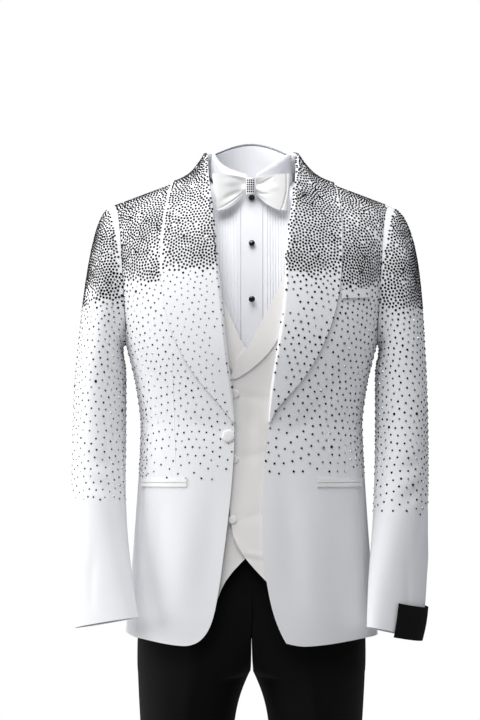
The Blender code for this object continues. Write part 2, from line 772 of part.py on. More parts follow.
def shawl(name, side):
    """One half of the collar: a fall over the front and back, a rolled nose and a return inside."""
    levels = [SHAWL_START, SHAWL_MIDDLE] + BODY_HEIGHTS[7:] + [SEAM_TOP] + ARMHOLE_HEIGHTS
    stations = [front_station(side, height) for height in levels + [JACKET.top]]
    stations += [back_station(side, turn) for turn in (14, 29, 44, 58, 71, 81, 90)]
    falls, returns, noses = [], [], []
    for places, lift, fade, behind, nose in stations:
        first = math.dist(places[0], places[1])
        whole = first + math.dist(places[1], places[2])
        seam = first / whole
        fall, back = [], []
        for share in FALL_SHARES:
            x, height = on_path(places, share)
            base = JACKET.place(side * JACKET.angle_of(x, height, behind), height)
            fall.append(base + lift * max(0.0, 1 - share / fade) ** 2)
        for share in (min(seam + RETURN_WIDTH / whole, 1.0), seam):
            x, height = on_path(places, share)
            back.append(JACKET.at(side * JACKET.angle_of(x, height, behind), height, -FOLD_IN))
        falls.append(fall)
        returns.append(back)
        noses.append(nose)
    # A grid laid out from the centre outwards faces in on the wearer's right.
    normals = [[normal * side for normal in line] for line in normals_of(falls)]
    rows = []
    for fall, back, line, reach in zip(falls, returns, normals, noses):
        front = [point + normal * FOLD_OUT for point, normal in zip(fall, line)]
        under = fall[0] - line[0] * FOLD_OUT
        nose = fall[0] - (front[1] - front[0]).normalized() * reach
        rows.append(back + [under, nose] + front)
    return wall(f"shawl_{name}", facing(rows, side), COLLAR_WALL, "white_wool")


# Pieces that lie on the jacket ------------------------------------------------------------------


STRIP_OUT = 0.0017  # the outer face of a welt or jet over the jacket


def strip(name, ends, tall, columns, finish):
    """A narrow flat piece on the jacket, from one end (x, z) of its lower edge to the other."""
    rows = []
    for lift in (0.0, tall):
        levels = [JACKET.height_of(abs(x), z + lift) for x, z in ends]
        angles = [JACKET.angle_of(x, height) for (x, _), height in zip(ends, levels)]
        places = zip(steps(*angles, columns), steps(*levels, columns))
        rows.append([JACKET.at(angle, height, STRIP_OUT) for angle, height in places])
    if ends[1][0] < ends[0][0]:
        rows = [row[::-1] for row in rows]
    wall(name, rows, BAND_WALL, finish)


WELT_ENDS, WELT_TALL = ((0.1365, -0.173), (0.1800, -0.171)), 0.013
POCKET_X, POCKET_Z, JET_TALL = (0.0990, 0.1700), (-0.4601, -0.4625), 0.0060
JET_GAP = 0.0006


def pockets():
    strip("breast_welt", WELT_ENDS, WELT_TALL, 4, "white_wool")
    for name, side in SIDES:
        for edge, lift in (("upper", JET_TALL + JET_GAP), ("lower", 0.0)):
            ends = [(side * x, z + lift) for x, z in zip(POCKET_X, POCKET_Z)]
            strip(f"hip_jet_{edge}_{name}", ends, JET_TALL, 6, "white_satin")


def dome(name, centre, normal, radius, tall, finish, sides=12):
    """A covered button or a stud: a flat back, an upright rim and a rounded face."""
    profile = [(0.82, 0.0), (1.0, 0.25), (0.96, 0.62), (0.62, 0.92)]
    normal = normal.normalized()
    across = normal.cross(Vector((0, 0, 1))).normalized()
    up = across.cross(normal)
    points = []
    for share, rise in profile:
        for k in range(sides):
            around = math.tau * k / sides
            ring = (across * math.cos(around) + up * math.sin(around)) * radius * share
            points.append(centre + ring + normal * tall * rise)
    points += [centre, centre + normal * tall]
    faces = []
    for ring in range(len(profile) - 1):
        for k in range(sides):
            a, b = ring * sides + k, ring * sides + (k + 1) % sides
            faces.append((a, a + sides, b + sides, b))
    back, face = len(points) - 2, len(points) - 1
    top = (len(profile) - 1) * sides
    for k in range(sides):
        nxt = (k + 1) % sides
        faces.append((back, k, nxt))
        faces.append((face, top + nxt, top + k))
    add_solid(name, points, faces, finish)


def on_form(form, x, z, out):
    height = form.height_of(abs(x), z)
    angle = form.angle_of(x, height)
    return form.at(angle, height, out), form.normal(angle, height)


JACKET_BUTTON = (-0.0352, -0.382, 0.0095, 0.0045)  # x, z, radius, height


def make_jacket():
    for name, side in SIDES:
        jacket_front(name, side)
        jacket_side(name, side)
        jacket_back(name, side)
        sleeve(name, side)
        shawl(name, side)
    pockets()
    x, z, radius, tall = JACKET_BUTTON
    centre, normal = on_form(JACKET, x, z, 0.0009)
    dome("jacket_button", centre, normal, radius, tall, "white_satin")


# Waistcoat --------------------------------------------------------------------------------------

# The left front lies over the right one. A front's edge runs from the point of
# the hem up the overlap and then out along the neck. Both are measured from the centre towards
# that front's own side, so the part that laps past the centre is negative.
WAISTCOAT_EDGE = {
    LEFT: [
        Edge(-0.630, 0.0480),
        Edge(-0.608, 0.0260),
        Edge(-0.568, -0.0111),
        Edge(-0.5275, -0.0346),
        Edge(-0.4500, -0.0340),
        Edge(-0.3000, -0.0335),
        Edge(-0.2726, -0.0257),
        Edge(-0.2537, -0.0095),
        Edge(-0.1945, 0.0215),
        Edge(-0.1410, 0.0489),
        Edge(-0.0900, 0.0680),
        Edge(0.0250, 0.0900),
    ],
    RIGHT: [
        Edge(-0.630, 0.0520),
        Edge(-0.611, 0.0467),
        Edge(-0.568, 0.0111),
        Edge(-0.5275, -0.0300),
        Edge(-0.4500, -0.0330),
        Edge(-0.3000, -0.0300),
        Edge(-0.2726, -0.0100),
        Edge(-0.2537, 0.0095),
        Edge(-0.1976, 0.0332),
        Edge(-0.1686, 0.0469),
        Edge(-0.0900, 0.0700),
        Edge(0.0250, 0.0900),
    ],
}
WAISTCOAT_HEM_POINT, WAISTCOAT_HEM_SIDE = -0.630, -0.560
WAISTCOAT_OVER = 0.0050  # how far the left front lies outside the right one, over its lapel
# The armhole's edges on the hidden layers, as angles.
Arms = namedtuple("Arms", "height front back")
INNER_ARMS = [
    Arms(-0.300, 88, 92),
    Arms(-0.255, 84, 97),
    Arms(-0.200, 62, 120),
    Arms(-0.120, 55, 126),
    Arms(-0.040, 58, 122),
    Arms(0.020, 62, 118),
]
WAISTCOAT_HEMS = (0.0, 0.3, 0.65)  # shares of the way from the slanted hem up to the first level
LAPEL_START = -0.295
WAISTCOAT_LEVELS = [-0.540, -0.480, -0.420, -0.355, LAPEL_START, -0.273, -0.250, -0.225, -0.195]
WAISTCOAT_LEVELS += [-0.160, -0.110, -0.060, -0.015, 0.0195]

# The lapels' outer edges, carried on down to the hem as the line of the panels' fourth column.
WAISTCOAT_LAPEL = {
    LEFT: [
        Edge(-0.6300, 0.0800),
        Edge(-0.5000, 0.0150),
        Edge(-0.3500, -0.0100),
        Edge(-0.2950, -0.0200),
        Edge(-0.2817, -0.0033),
        Edge(-0.2597, 0.0249),
        Edge(-0.2200, 0.0480),
        Edge(-0.1686, 0.0700),
        Edge(-0.1000, 0.0950),
        Edge(0.0250, 0.1150),
    ],
    RIGHT: [
        Edge(-0.6300, 0.0900),
        Edge(-0.5000, 0.0300),
        Edge(-0.3500, 0.0150),
        Edge(-0.2950, 0.0250),
        Edge(-0.2726, 0.0345),
        Edge(-0.2537, 0.0470),
        Edge(-0.2200, 0.0560),
        Edge(-0.1686, 0.0760),
        Edge(-0.1000, 0.0970),
        Edge(0.0250, 0.1150),
    ],
}
LAPEL_COLUMNS, BODY_COLUMNS = 2, 7


def waistcoat_out(side, x, height):
    """The left front's overlap lies outside the right front, and joins its form towards the side
    and above the crossing."""
    if side == RIGHT:
        return 0.0
    return WAISTCOAT_OVER * (1 - ease((x - 0.050) / 0.06)) * (1 - ease((height + 0.250) / 0.09))


def waistcoat_grid(side, out=0.0):
    """A front's points, with its first columns on the lapel and a row where the lapel starts."""
    low = [mix(WAISTCOAT_HEM_POINT, WAISTCOAT_LEVELS[0], t) for t in WAISTCOAT_HEMS]
    rows = []
    for r, level in enumerate(low + WAISTCOAT_LEVELS):
        z = z_at(WAISTCOAT, 0.05, level)
        inner = smooth(WAISTCOAT_EDGE[side], "x", z)
        fold = max(smooth(WAISTCOAT_LAPEL[side], "x", z), inner + 0.010)
        turns = [WAISTCOAT.angle_of(x, level) for x in steps(inner, fold, LAPEL_COLUMNS)]
        turns += steps(turns[-1], smooth(INNER_ARMS, "front", level), BODY_COLUMNS)[1:]
        row = []
        for k, turn in enumerate(turns):
            hem = mix(WAISTCOAT_HEM_POINT, WAISTCOAT_HEM_SIDE, k / (len(turns) - 1))
            height = mix(hem, WAISTCOAT_LEVELS[0], WAISTCOAT_HEMS[r]) if r < len(low) else level
            away = out + waistcoat_out(side, WAISTCOAT.x_at(turn, height), height)
            row.append(WAISTCOAT.at(side * turn, height, away))
        rows.append(row)
    return rows


def waistcoat_front(name, side):
    wall(
        f"waistcoat_front_{name}", facing(waistcoat_grid(side), side), WAISTCOAT_WALL, "ivory_satin"
    )


def waistcoat_lapel(name, side):
    """The lapel lies on its front, along the front's own points."""
    first = len(WAISTCOAT_HEMS) + WAISTCOAT_LEVELS.index(LAPEL_START)
    rows = waistcoat_grid(side, WAISTCOAT_WALL + SEAM_GAP)
    rows = [row[: LAPEL_COLUMNS + 1] for row in rows[first:]]
    wall(f"waistcoat_lapel_{name}", facing(rows, side), WAISTCOAT_WALL, "ivory_satin")


def hidden_back(name, form, levels, neck_z, thickness, finish):
    """A plain back from arm to arm, whose top follows the shoulders and dips across the neck."""
    rows = []
    for level in levels:
        row = []
        edge = smooth(INNER_ARMS, "back", level)
        for angle in steps(edge, 360 - edge, 14):
            share = min(abs(form.x_at(angle, form.top)) / NECK_POINT_X, 1.0)
            top = mix(form.height_of(0.0, neck_z), form.top - 0.0005, share**2.5)
            shrink = (top - form.armpit) / (levels[-1] - form.armpit)
            above = max(level - form.armpit, 0.0)
            row.append(form.at(angle, level - above + above * shrink))
        rows.append(row)
    wall(name, rows, thickness, finish)


def waistcoat_back():
    levels = [-0.558, -0.470, -0.390, -0.315, -0.245, -0.170, -0.100, -0.035, WAISTCOAT.top - 0.0005]
    hidden_back("waistcoat_back", WAISTCOAT, levels, 0.0080, WAISTCOAT_WALL, "ivory_satin")


WAISTCOAT_BUTTON = (0.0062, 0.0028)  # radius, height
WAISTCOAT_BUTTONS = [("upper", -0.0250, -0.318), ("middle", -0.0256, -0.418), ("lower", -0.0290, -0.510)]


def make_waistcoat():
    for name, side in SIDES:
        waistcoat_front(name, side)
        waistcoat_lapel(name, side)
    waistcoat_back()
    radius, tall = WAISTCOAT_BUTTON
    for name, x, z in WAISTCOAT_BUTTONS:
        centre, normal = on_form(WAISTCOAT, x, z, WAISTCOAT_OVER + SEAM_GAP)
        dome(f"waistcoat_button_{name}", centre, normal, radius, tall, "ivory_satin", sides=10)


# Shirt ------------------------------------------------------------------------------------------

FRONT_NECK_Z, SIDE_NECK_Z = -0.0112, 0.0150
SHIRT_HEM = -0.470
SHIRT_LEVELS = [SHIRT_HEM, -0.300, -0.205, -0.140, -0.085]
SHIRT_SHOULDER = SHIRT.top - 0.0005
PLACKET_PROUD = 0.0006
BIB_X, BIB_OUTER_X = 0.0170, 0.0640
TUCKS, TUCK_PITCH, TUCK_START, TUCK_RISE = 9, 0.0042, 0.0200, 0.0009
TUCK_SHARE = 0.88  # how far across its pitch a tuck has risen to its edge


def neck_seam(x):
    """The shirt's edge round the collar stand over x: a point, and the height just below it."""
    if abs(x) < NECK_HALF_X:
        turn = math.degrees(math.asin(x / (NECK_HALF_X + NECK_OUT)))
        point = neck_point(turn, seat_z(turn), NECK_OUT)
        return point, SHIRT.height_of(x, point.z)
    return SHIRT.place(SHIRT.angle_of(x, SHIRT.top), SHIRT_SHOULDER), SHIRT_SHOULDER


def shirt_wall(name, side, places):
    """Part of the shirt's front over places (x, rise), from the hem to the neck and shoulder. The
    wall is raised by each rise over a plain inside."""
    raised, plain, normals = [], [], []
    for row in range(len(SHIRT_LEVELS) + 2):
        for table in (raised, plain, normals):
            table.append([])
        for x, rise in places:
            point, height = neck_seam(side * x)
            if row < len(SHIRT_LEVELS):
                height = SHIRT_LEVELS[row]
            elif row == len(SHIRT_LEVELS):
                height = mix(SHIRT_LEVELS[-1], height, 0.55)
            angle = side * SHIRT.angle_of(x, height)
            normal = SHIRT.normal(angle, height)
            if row <= len(SHIRT_LEVELS):
                point = SHIRT.place(angle, height)
            plain[-1].append(point)
            raised[-1].append(point + normal * (rise if row <= len(SHIRT_LEVELS) else 0.0))
            normals[-1].append(normal)
    wall(
        name,
        facing(raised, side),
        SHIRT_WALL,
        "white_cotton",
        normals=facing(normals, side),
        plain=facing(plain, side),
    )


def shirt_bib(name, side):
    """The tucked front: each tuck rises to an edge that faces the side."""
    places = [(BIB_X, 0.0)]
    for k in range(TUCKS):
        start = TUCK_START + k * TUCK_PITCH
        places += [(start, 0.0), (start + TUCK_SHARE * TUCK_PITCH, TUCK_RISE)]
    places += [(TUCK_START + TUCKS * TUCK_PITCH, 0.0), (BIB_OUTER_X, 0.0)]
    shirt_wall(f"shirt_bib_{name}", side, places)


def shirt_side(name, side):
    rows, normals = [], []
    for height in SHIRT_LEVELS + [mix(SHIRT_LEVELS[-1], SHIRT_SHOULDER, 0.55), SHIRT_SHOULDER]:
        inner, outer = SHIRT.angle_of(BIB_OUTER_X, height), smooth(INNER_ARMS, "front", height)
        turns = [side * angle for angle in steps(inner, outer, 4)]
        rows.append([SHIRT.place(turn, height) for turn in turns])
        normals.append([SHIRT.normal(turn, height) for turn in turns])
    wall(
        f"shirt_side_{name}",
        facing(rows, side),
        SHIRT_WALL,
        "white_cotton",
        normals=facing(normals, side),
    )


def shirt_back():
    levels = [SHIRT_HEM, -0.360, -0.245, -0.160, -0.070, SHIRT_SHOULDER]
    hidden_back("shirt_back", SHIRT, levels, 0.0140, SHIRT_WALL, "white_cotton")


def placket():
    places = [(x, PLACKET_PROUD) for x in (-0.0166, -0.0083, 0.0, 0.0083, 0.0166)]
    shirt_wall("shirt_placket", LEFT, places)


NECK_HALF_X, NECK_HALF_Y = 0.0585, 0.0605
NECK_OUT = 0.0026  # the shirt's neck seam stands this far outside the collar's ring
# The height of the collar's fold over its distance from the centre: it sags on the wearer's right.
Fold = namedtuple("Fold", "z across")
FOLD = {
    RIGHT: [Fold(0.0150, 0.0), Fold(0.0225, 0.0215), Fold(0.0288, 0.0360), Fold(0.0358, 0.0470),
            Fold(0.0430, 0.0535), Fold(0.0560, NECK_HALF_X)],
    LEFT: [Fold(0.0130, 0.0), Fold(0.0551, NECK_HALF_X)],
}
COLLAR_BACK_Z = 0.078


def neck_point(turn, z, out):
    """A point round the neck: turn 0 in front, 90 on the wearer's left, 180 behind."""
    around = math.radians(turn)
    return Vector(
        ((NECK_HALF_X + out) * math.sin(around), -(NECK_HALF_Y + out) * math.cos(around), z)
    )


def fold_level(rows, across):
    """The fold's height at a distance from the centre, along straight runs between the rows."""
    for low, high in zip(rows, rows[1:]):
        if across <= high.across:
            return mix(low.z, high.z, (across - low.across) / (high.across - low.across))
    return rows[-1].z


def fold_z(turn):
    """The height of the collar's fold."""
    turn = (turn + 180) % 360 - 180
    side = LEFT if turn >= 0 else RIGHT
    across = NECK_HALF_X * math.sin(math.radians(min(abs(turn), 90)))
    level = fold_level(FOLD[side], across)
    return mix(level, COLLAR_BACK_Z, ease((abs(turn) - 90) / 90))


def seat_z(turn):
    """The height of the collar's seam to the shirt."""
    turn = abs((turn + 180) % 360 - 180)
    return mix(FRONT_NECK_Z, SIDE_NECK_Z, ease(turn / 100))


Leaf = namedtuple("Leaf", "turn drop")
LEAF = {
    side: [
        Leaf(7, 0.004),
        Leaf(38, point),
        Leaf(48, point),
        Leaf(76, beside),
        Leaf(110, 0.0385),
        Leaf(180, 0.043),
    ]
    for side, point, beside in ((RIGHT, 0.040, 0.031), (LEFT, 0.057, 0.0385))
}
RING_TURNS = [7, 17, 28, 38, 48, 62, 76, 92, 110, 128, 146, 164, 180]
RING_TURNS += [360 - turn for turn in RING_TURNS[-2::-1]]
LEAF_CLEAR = 0.0040  # how far the leaf's face lies outside the shirt's front
LEAF_FLARE = 0.0020  # how much farther out the leaf's lower edge stands at the side of the neck


def leaf_point(turn, share, out):
    """A point of the collar's leaf, a share of the way down from its fold; over the chest it lies
    on the shirt."""
    turn = (turn + 180) % 360 - 180
    drop = smooth(LEAF[LEFT if turn >= 0 else RIGHT], "drop", abs(turn)) * share
    flare = LEAF_FLARE * share * math.sin(math.radians(turn)) ** 4
    point = neck_point(turn, fold_z(turn) - drop, out + flare)
    if math.cos(math.radians(turn)) > 0 and point.z < SHIRT.ridge_z(point.x):
        height = SHIRT.height_of(point.x, point.z)
        on_shirt = SHIRT.at(SHIRT.angle_of(point.x, height), height, LEAF_CLEAR)
        point.y = min(point.y, on_shirt.y)
    return point


def shirt_collar():
    stand_turns = [0.6] + RING_TURNS + [359.4]
    stand = []
    for share, out in ((0.0, 0.0008), (1.0, 0.0)):
        heights = [mix(seat_z(turn), fold_z(turn) - 0.0022, share) for turn in stand_turns]
        stand.append([neck_point(turn, z, out) for turn, z in zip(stand_turns, heights)])
    wall("shirt_collar_stand", stand, SHIRT_WALL, "white_cotton")
    leaf = []
    for share, out in ((1.0, 0.0058), (0.75, 0.0056), (0.5, 0.0052), (0.0, 0.0046)):
        leaf.append([leaf_point(turn, share, out) for turn in RING_TURNS])
    leaf.append([neck_point(turn, fold_z(turn) + 0.0016, 0.0016) for turn in RING_TURNS])
    leaf.append([neck_point(turn, fold_z(turn) + 0.0012, -0.0006) for turn in RING_TURNS])
    wall("shirt_collar_leaf", leaf, SHIRT_WALL, "white_cotton")


STUD = (0.0050, 0.0035)  # radius, height
STUDS = [("upper", -0.0180), ("middle", -0.0890), ("lower", -0.1745)]


def make_shirt():
    for name, side in SIDES:
        shirt_bib(name, side)
        shirt_side(name, side)
    shirt_back()
    placket()
    shirt_collar()
    radius, tall = STUD
    for name, z in STUDS:
        centre, normal = on_form(SHIRT, 0.0, z, PLACKET_PROUD + 2 * SEAM_GAP)
        dome(f"shirt_stud_{name}", centre, normal, radius, tall, "black_enamel", sides=10)


# Bow tie ----------------------------------------------------------------------------------------

KNOT_HALF_X, KNOT_HALF_Y, KNOT_HALF_Z = 0.0078, 0.0085, 0.0130
KNOT_X, KNOT_Y = -0.002, -0.0755
BOW_BAND_OUT, BOW_BAND_HALF = 0.0026, 0.009
WING_LOW, WING_HIGH = (-0.0122, -0.0380), (0.0128, 0.0188)  # a wing's edges by the knot and at its end


def bow_band():
    rows = []
    for lift in (-BOW_BAND_HALF, BOW_BAND_HALF):
        row = []
        for turn in RING_TURNS:
            middle = (seat_z(turn) + fold_z(turn)) / 2 - 0.001
            row.append(neck_point(turn, middle + lift, BOW_BAND_OUT))
        rows.append(row)
    wall("bow_band", rows, BAND_WALL, "white_satin")


def bow_knot():
    """The crosspiece wrapped round the bow's middle: a short rounded block."""
    points, faces = [], []
    sides, rings = 12, (0.0, 0.16, 0.5, 0.84, 1.0)
    for share in rings:
        z = mix(-KNOT_HALF_Z, KNOT_HALF_Z, share)
        swell = 0.90 + 0.10 * math.sin(math.pi * share)
        for k in range(sides):
            around = math.tau * k / sides
            across, deep = math.cos(around), math.sin(around)
            x = KNOT_HALF_X * swell * math.copysign(abs(across) ** 0.55, across)
            y = KNOT_HALF_Y * swell * math.copysign(abs(deep) ** 0.55, deep)
            points.append(Vector((KNOT_X + x, KNOT_Y + y, z)))
    for ring in range(len(rings) - 1):
        for k in range(sides):
            a, b = ring * sides + k, ring * sides + (k + 1) % sides
            faces.append((a, b, b + sides, a + sides))
    faces.append(tuple(reversed(range(sides))))
    faces.append(tuple(range((len(rings) - 1) * sides, len(rings) * sides)))
    add_solid("bow_knot", points, faces, "white_satin")


def bow_wing(name, side):
    """One loop of the bow: it leaves the knot gathered small, spreads, turns at its end and comes
    back behind itself."""
    start = KNOT_X + side * (KNOT_HALF_X + 0.0004)
    end = side * 0.0565
    path = []  # across, depth, how open the loop is, lean of its end
    for t in steps(0.0, 1.0, 7):
        path.append((mix(start, end, t), -0.0745 - 0.0105 * math.sin(math.pi * t * 0.62), t))
    for a in (45, 90, 135, 180):
        turn = math.radians(a)
        path.append(
            (end + side * 0.0042 * math.sin(turn), path[7][1] + 0.0042 * (1 - math.cos(turn)), 1.0)
        )
    for t in (0.80, 0.62):
        path.append((mix(start, end, t), path[11][1] + 0.0004, t))
    rows = []
    for up in steps(0.0, 1.0, 6):
        row = []
        for x, y, open_share in path:
            spread = math.sin(open_share * math.pi / 2)
            low = mix(*WING_LOW, spread)
            high = mix(*WING_HIGH, spread)
            lean = -side * 0.0065 * (1 - up) * spread
            pleat = 0.0022 * math.cos(up * math.tau * 1.5) * (1 - ease(open_share * 1.3))
            row.append(Vector((x + lean, y + pleat, mix(low, high, up))))
        rows.append(row)
    wall(f"bow_wing_{name}", facing(rows, side), 0.0014, "white_satin")


def make_bow_tie():
    bow_band()
    bow_knot()
    for name, side in SIDES:
        bow_wing(name, side)


# Trousers ---------------------------------------------------------------------------------------

# A leg's ring: where its middle is, half its width and half its depth.
Leg = namedtuple("Leg", "z x y half_width half_deep")
LEG = [
    Leg(-1.550, 0.1010, 0.012, 0.0520, 0.0800),
    Leg(-1.350, 0.1010, 0.014, 0.0550, 0.0820),
    Leg(-1.150, 0.1010, 0.012, 0.0600, 0.0860),
    Leg(-1.000, 0.1010, 0.008, 0.0655, 0.0940),
    Leg(-0.900, 0.1010, 0.006, 0.0695, 0.0980),
    Leg(-0.832, 0.1010, 0.006, 0.0735, 0.1010),
    Leg(-0.790, 0.0970, 0.006, 0.0800, 0.1030),
    Leg(-0.757, 0.0905, 0.006, 0.0880, 0.1045),
]
WAIST_TOP, BAND_LOW, FORK_START, FORK = -0.405, -0.446, -0.655, -0.757
CREASE_PROUD = 0.035  # the pressed crease, as a share of the leg's depth
TROUSER_LEVELS = [-1.55, -1.40, -1.25, -1.10, -0.97, -0.88, -0.82, -0.782, FORK]
TROUSER_LEVELS += [-0.7525, -0.742, -0.724, -0.698, FORK_START, -0.58, -0.51, BAND_LOW]


def leg_point(side, turn, z):
    """A point of the leg: turn -90 inside, 0 on the front crease, 90 outside, 180 behind."""
    middle, half = smooth(LEG, "x", z), smooth(LEG, "half_width", z)
    deep = smooth(LEG, "half_deep", z)
    around = math.radians(turn)
    crease = 1 + CREASE_PROUD * math.exp(-((math.sin(around) / 0.22) ** 2))
    x = middle + half * math.copysign(abs(math.sin(around)) ** 0.92, math.sin(around))
    y = smooth(LEG, "y", z) - deep * crease * math.copysign(
        abs(math.cos(around)) ** 0.92, math.cos(around)
    )
    return Vector((side * x, y, z))


def hip_point(side, turn, z):
    """The same place on the hips, which both legs share: its inner end is the centre seam."""
    half = smooth(HIPS.sections, "half_width", z)
    square = smooth(HIPS.sections, "square", z)
    around = math.radians(turn)
    behind = math.cos(around) < 0
    deep = smooth(HIPS.sections, "back" if behind else "front", z)
    x = half / 2 * (1 + math.sin(around)) * 0.9995 + 0.00005
    edge = 0.0 if x >= half else (1 - (x / half) ** square) ** (1 / square)
    crease = 1 + 0.3 * CREASE_PROUD * math.exp(-((math.sin(around) / 0.22) ** 2))
    return Vector((side * x, deep * edge * crease * (1 if behind else -1), z))


def trouser_point(side, turn, z):
    if z <= FORK:
        return leg_point(side, turn, z)
    if z >= FORK_START:
        return hip_point(side, turn, z)
    share = (FORK_START - z) / (FORK_START - FORK)
    under = 1 - math.sqrt(max(0.0, 1 - share**2))
    return hip_point(side, turn, z).lerp(leg_point(side, turn, z), under)


def trouser_panel(piece, name, side, first, last):
    turns = steps(first, last, 8)
    rows = [[trouser_point(side, turn, z) for turn in turns] for z in TROUSER_LEVELS]
    if side == RIGHT:
        rows = [row[::-1] for row in rows]
    wall(f"trousers_{piece}_{name}", rows, TROUSER_WALL, "black_wool")


def make_trousers():
    for name, side in SIDES:
        trouser_panel("front", name, side, -90, 90)
        trouser_panel("back", name, side, 90, 270)
    rows = []
    for z in (BAND_LOW + SEAM_GAP, WAIST_TOP):
        rows.append([HIPS.at(angle, z, 0.0002) for angle in steps(0.4, 359.6, 26)])
    wall("trousers_waistband", rows, TROUSER_WALL, "black_wool")


# Label on the left cuff -------------------------------------------------------------------------

LABEL_TURNS = (77.0, -58.0)  # from the front of the sleeve round its outside
LABEL_HIGH, LABEL_LOW = -0.6345, -0.6875
LABEL_SLOPE = 0.25  # how much lower its outer side hangs, per metre across
LABEL_OUT = 0.0030


def cuff_label():
    """A band laid round the outside of the left sleeve, just above the cuff and a little past it."""
    rows = []
    for z in steps(LABEL_LOW, LABEL_HIGH, 2):
        line = [arm_point(LEFT, turn, z) for turn in steps(*LABEL_TURNS, 8)]
        away = [run(line, k).cross(Vector((0, 0, 1))).normalized() for k in range(len(line))]
        row = [point + out * LABEL_OUT for point, out in zip(line, away)]
        for point in row:
            point.z -= (point.x - ARMS[LEFT][0].x) * LABEL_SLOPE
        rows.append(row)
    wall("cuff_label", rows, BAND_WALL, "black_tape")


def clear_scene():
    for item in list(bpy.data.objects):
        bpy.data.objects.remove(item, do_unlink=True)


clear_scene()
make_jacket()
make_waistcoat()
make_shirt()
make_bow_tie()
make_trousers()
cuff_label()
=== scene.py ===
# %% [markdown]
# # A worn evening suit
# A jacket with a shawl collar, a waistcoat, a dress shirt, a bow tie and trousers, kept in the shape
# of the wearer with nobody inside. The solids that carry the garment come in first and fix every size
# and place. Everything after that is finish: the cloth is made even and smooth, its folds are pressed
# in, stones are set on the jacket, and each cloth gets its own weave and sheen.

import math
import random

import bpy
import numpy as np
from mathutils import Matrix, Vector, kdtree, noise
from mathutils.bvhtree import BVHTree


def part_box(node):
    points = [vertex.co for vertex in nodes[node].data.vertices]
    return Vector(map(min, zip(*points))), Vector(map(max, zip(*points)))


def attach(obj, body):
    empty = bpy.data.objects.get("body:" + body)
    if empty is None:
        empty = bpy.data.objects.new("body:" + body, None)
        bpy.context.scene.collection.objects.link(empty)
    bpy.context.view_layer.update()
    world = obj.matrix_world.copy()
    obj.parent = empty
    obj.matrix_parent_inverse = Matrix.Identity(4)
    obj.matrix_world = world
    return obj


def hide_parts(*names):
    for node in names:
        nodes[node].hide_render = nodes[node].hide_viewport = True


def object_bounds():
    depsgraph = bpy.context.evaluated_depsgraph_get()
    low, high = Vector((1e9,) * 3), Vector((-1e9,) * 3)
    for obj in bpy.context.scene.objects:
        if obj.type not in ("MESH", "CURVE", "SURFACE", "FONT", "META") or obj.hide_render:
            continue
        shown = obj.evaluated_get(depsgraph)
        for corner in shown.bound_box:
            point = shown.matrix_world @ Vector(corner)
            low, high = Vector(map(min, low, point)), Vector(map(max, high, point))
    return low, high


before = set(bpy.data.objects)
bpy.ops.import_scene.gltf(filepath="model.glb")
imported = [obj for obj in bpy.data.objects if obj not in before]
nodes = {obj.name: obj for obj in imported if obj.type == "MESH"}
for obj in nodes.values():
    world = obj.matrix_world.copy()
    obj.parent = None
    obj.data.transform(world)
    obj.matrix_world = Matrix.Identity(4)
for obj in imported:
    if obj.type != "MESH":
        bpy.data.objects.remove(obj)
cad_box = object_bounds()
MM = 0.001
SIDES = (("right", -1), ("left", 1))
print("nodes", len(nodes), "box", [round(v, 3) for corner in cad_box for v in corner])


# %% [markdown]
# ## Small tools
# Colours are written as hex values, the way they are picked on a screen, and one function turns them
# into the linear numbers that Blender's shaders expect. Another adds a shader node with its settings
# and its links in one line. Operators act on all that is selected, so a helper deselects first.

# %% Colours and shader nodes
def linear(hex_colour):
    """An sRGB hex colour as linear RGBA."""
    parts = [int(hex_colour[k : k + 2], 16) / 255 for k in (1, 3, 5)]
    return tuple(c / 12.92 if c <= 0.04045 else ((c + 0.055) / 1.055) ** 2.4 for c in parts) + (1.0,)


def add_node(tree, kind, settings=(), **inputs):
    """A shader node with its settings; each input is a value or another node's output socket."""
    node = tree.nodes.new(kind)
    for key, value in dict(settings).items():
        setattr(node, key, value)
    for key, value in inputs.items():
        socket = node.inputs[int(key[1:])] if key[1:].isdigit() else node.inputs[key.replace("_", " ")]
        if isinstance(value, bpy.types.NodeSocket):
            tree.links.new(value, socket)
        else:
            socket.default_value = value
    return node


def new_material(name, hex_colour, roughness, **sockets):
    """A material with its Principled shader set: colour, roughness and any other of its sockets."""
    material = bpy.data.materials.new(name)
    material.use_nodes = True
    shader = material.node_tree.nodes["Principled BSDF"]
    shader.inputs["Base Color"].default_value = linear(hex_colour)
    shader.inputs["Roughness"].default_value = roughness
    for key, value in sockets.items():
        shader.inputs[key.replace("_", " ")].default_value = value
    return material, material.node_tree, shader


# %% Selecting
def only(piece):
    """Selects one object and makes it the active one."""
    bpy.ops.object.select_all(action="DESELECT")
    piece.select_set(True)
    bpy.context.view_layer.objects.active = piece


def edit(piece, kind="VERT", action="SELECT"):
    """Opens a piece in edit mode with everything in it selected, or nothing."""
    only(piece)
    bpy.ops.object.mode_set(mode="EDIT")
    bpy.ops.mesh.select_mode(type=kind)
    bpy.ops.mesh.select_all(action=action)


def done():
    bpy.ops.object.mode_set(mode="OBJECT")


# %% [markdown]
# ## Camera, floor and light
# A level camera stands 3.4 m in front at chest height with a long lens, so that the suit looks flat and
# upright as in a catalogue. A soft lamp on the left rakes along the white cloth and all but burns it
# out on that side, and a close one above the chest lights the bow and the shirt. Two weaker ones, one
# behind and one on the right, keep the edges off the background. Because the lamps are close, the far
# side of the suit falls to a soft grey. The world is white where the camera looks at it and a dim grey
# where it lights the cloth. The floor is a plain pale disc under the trousers' hems.

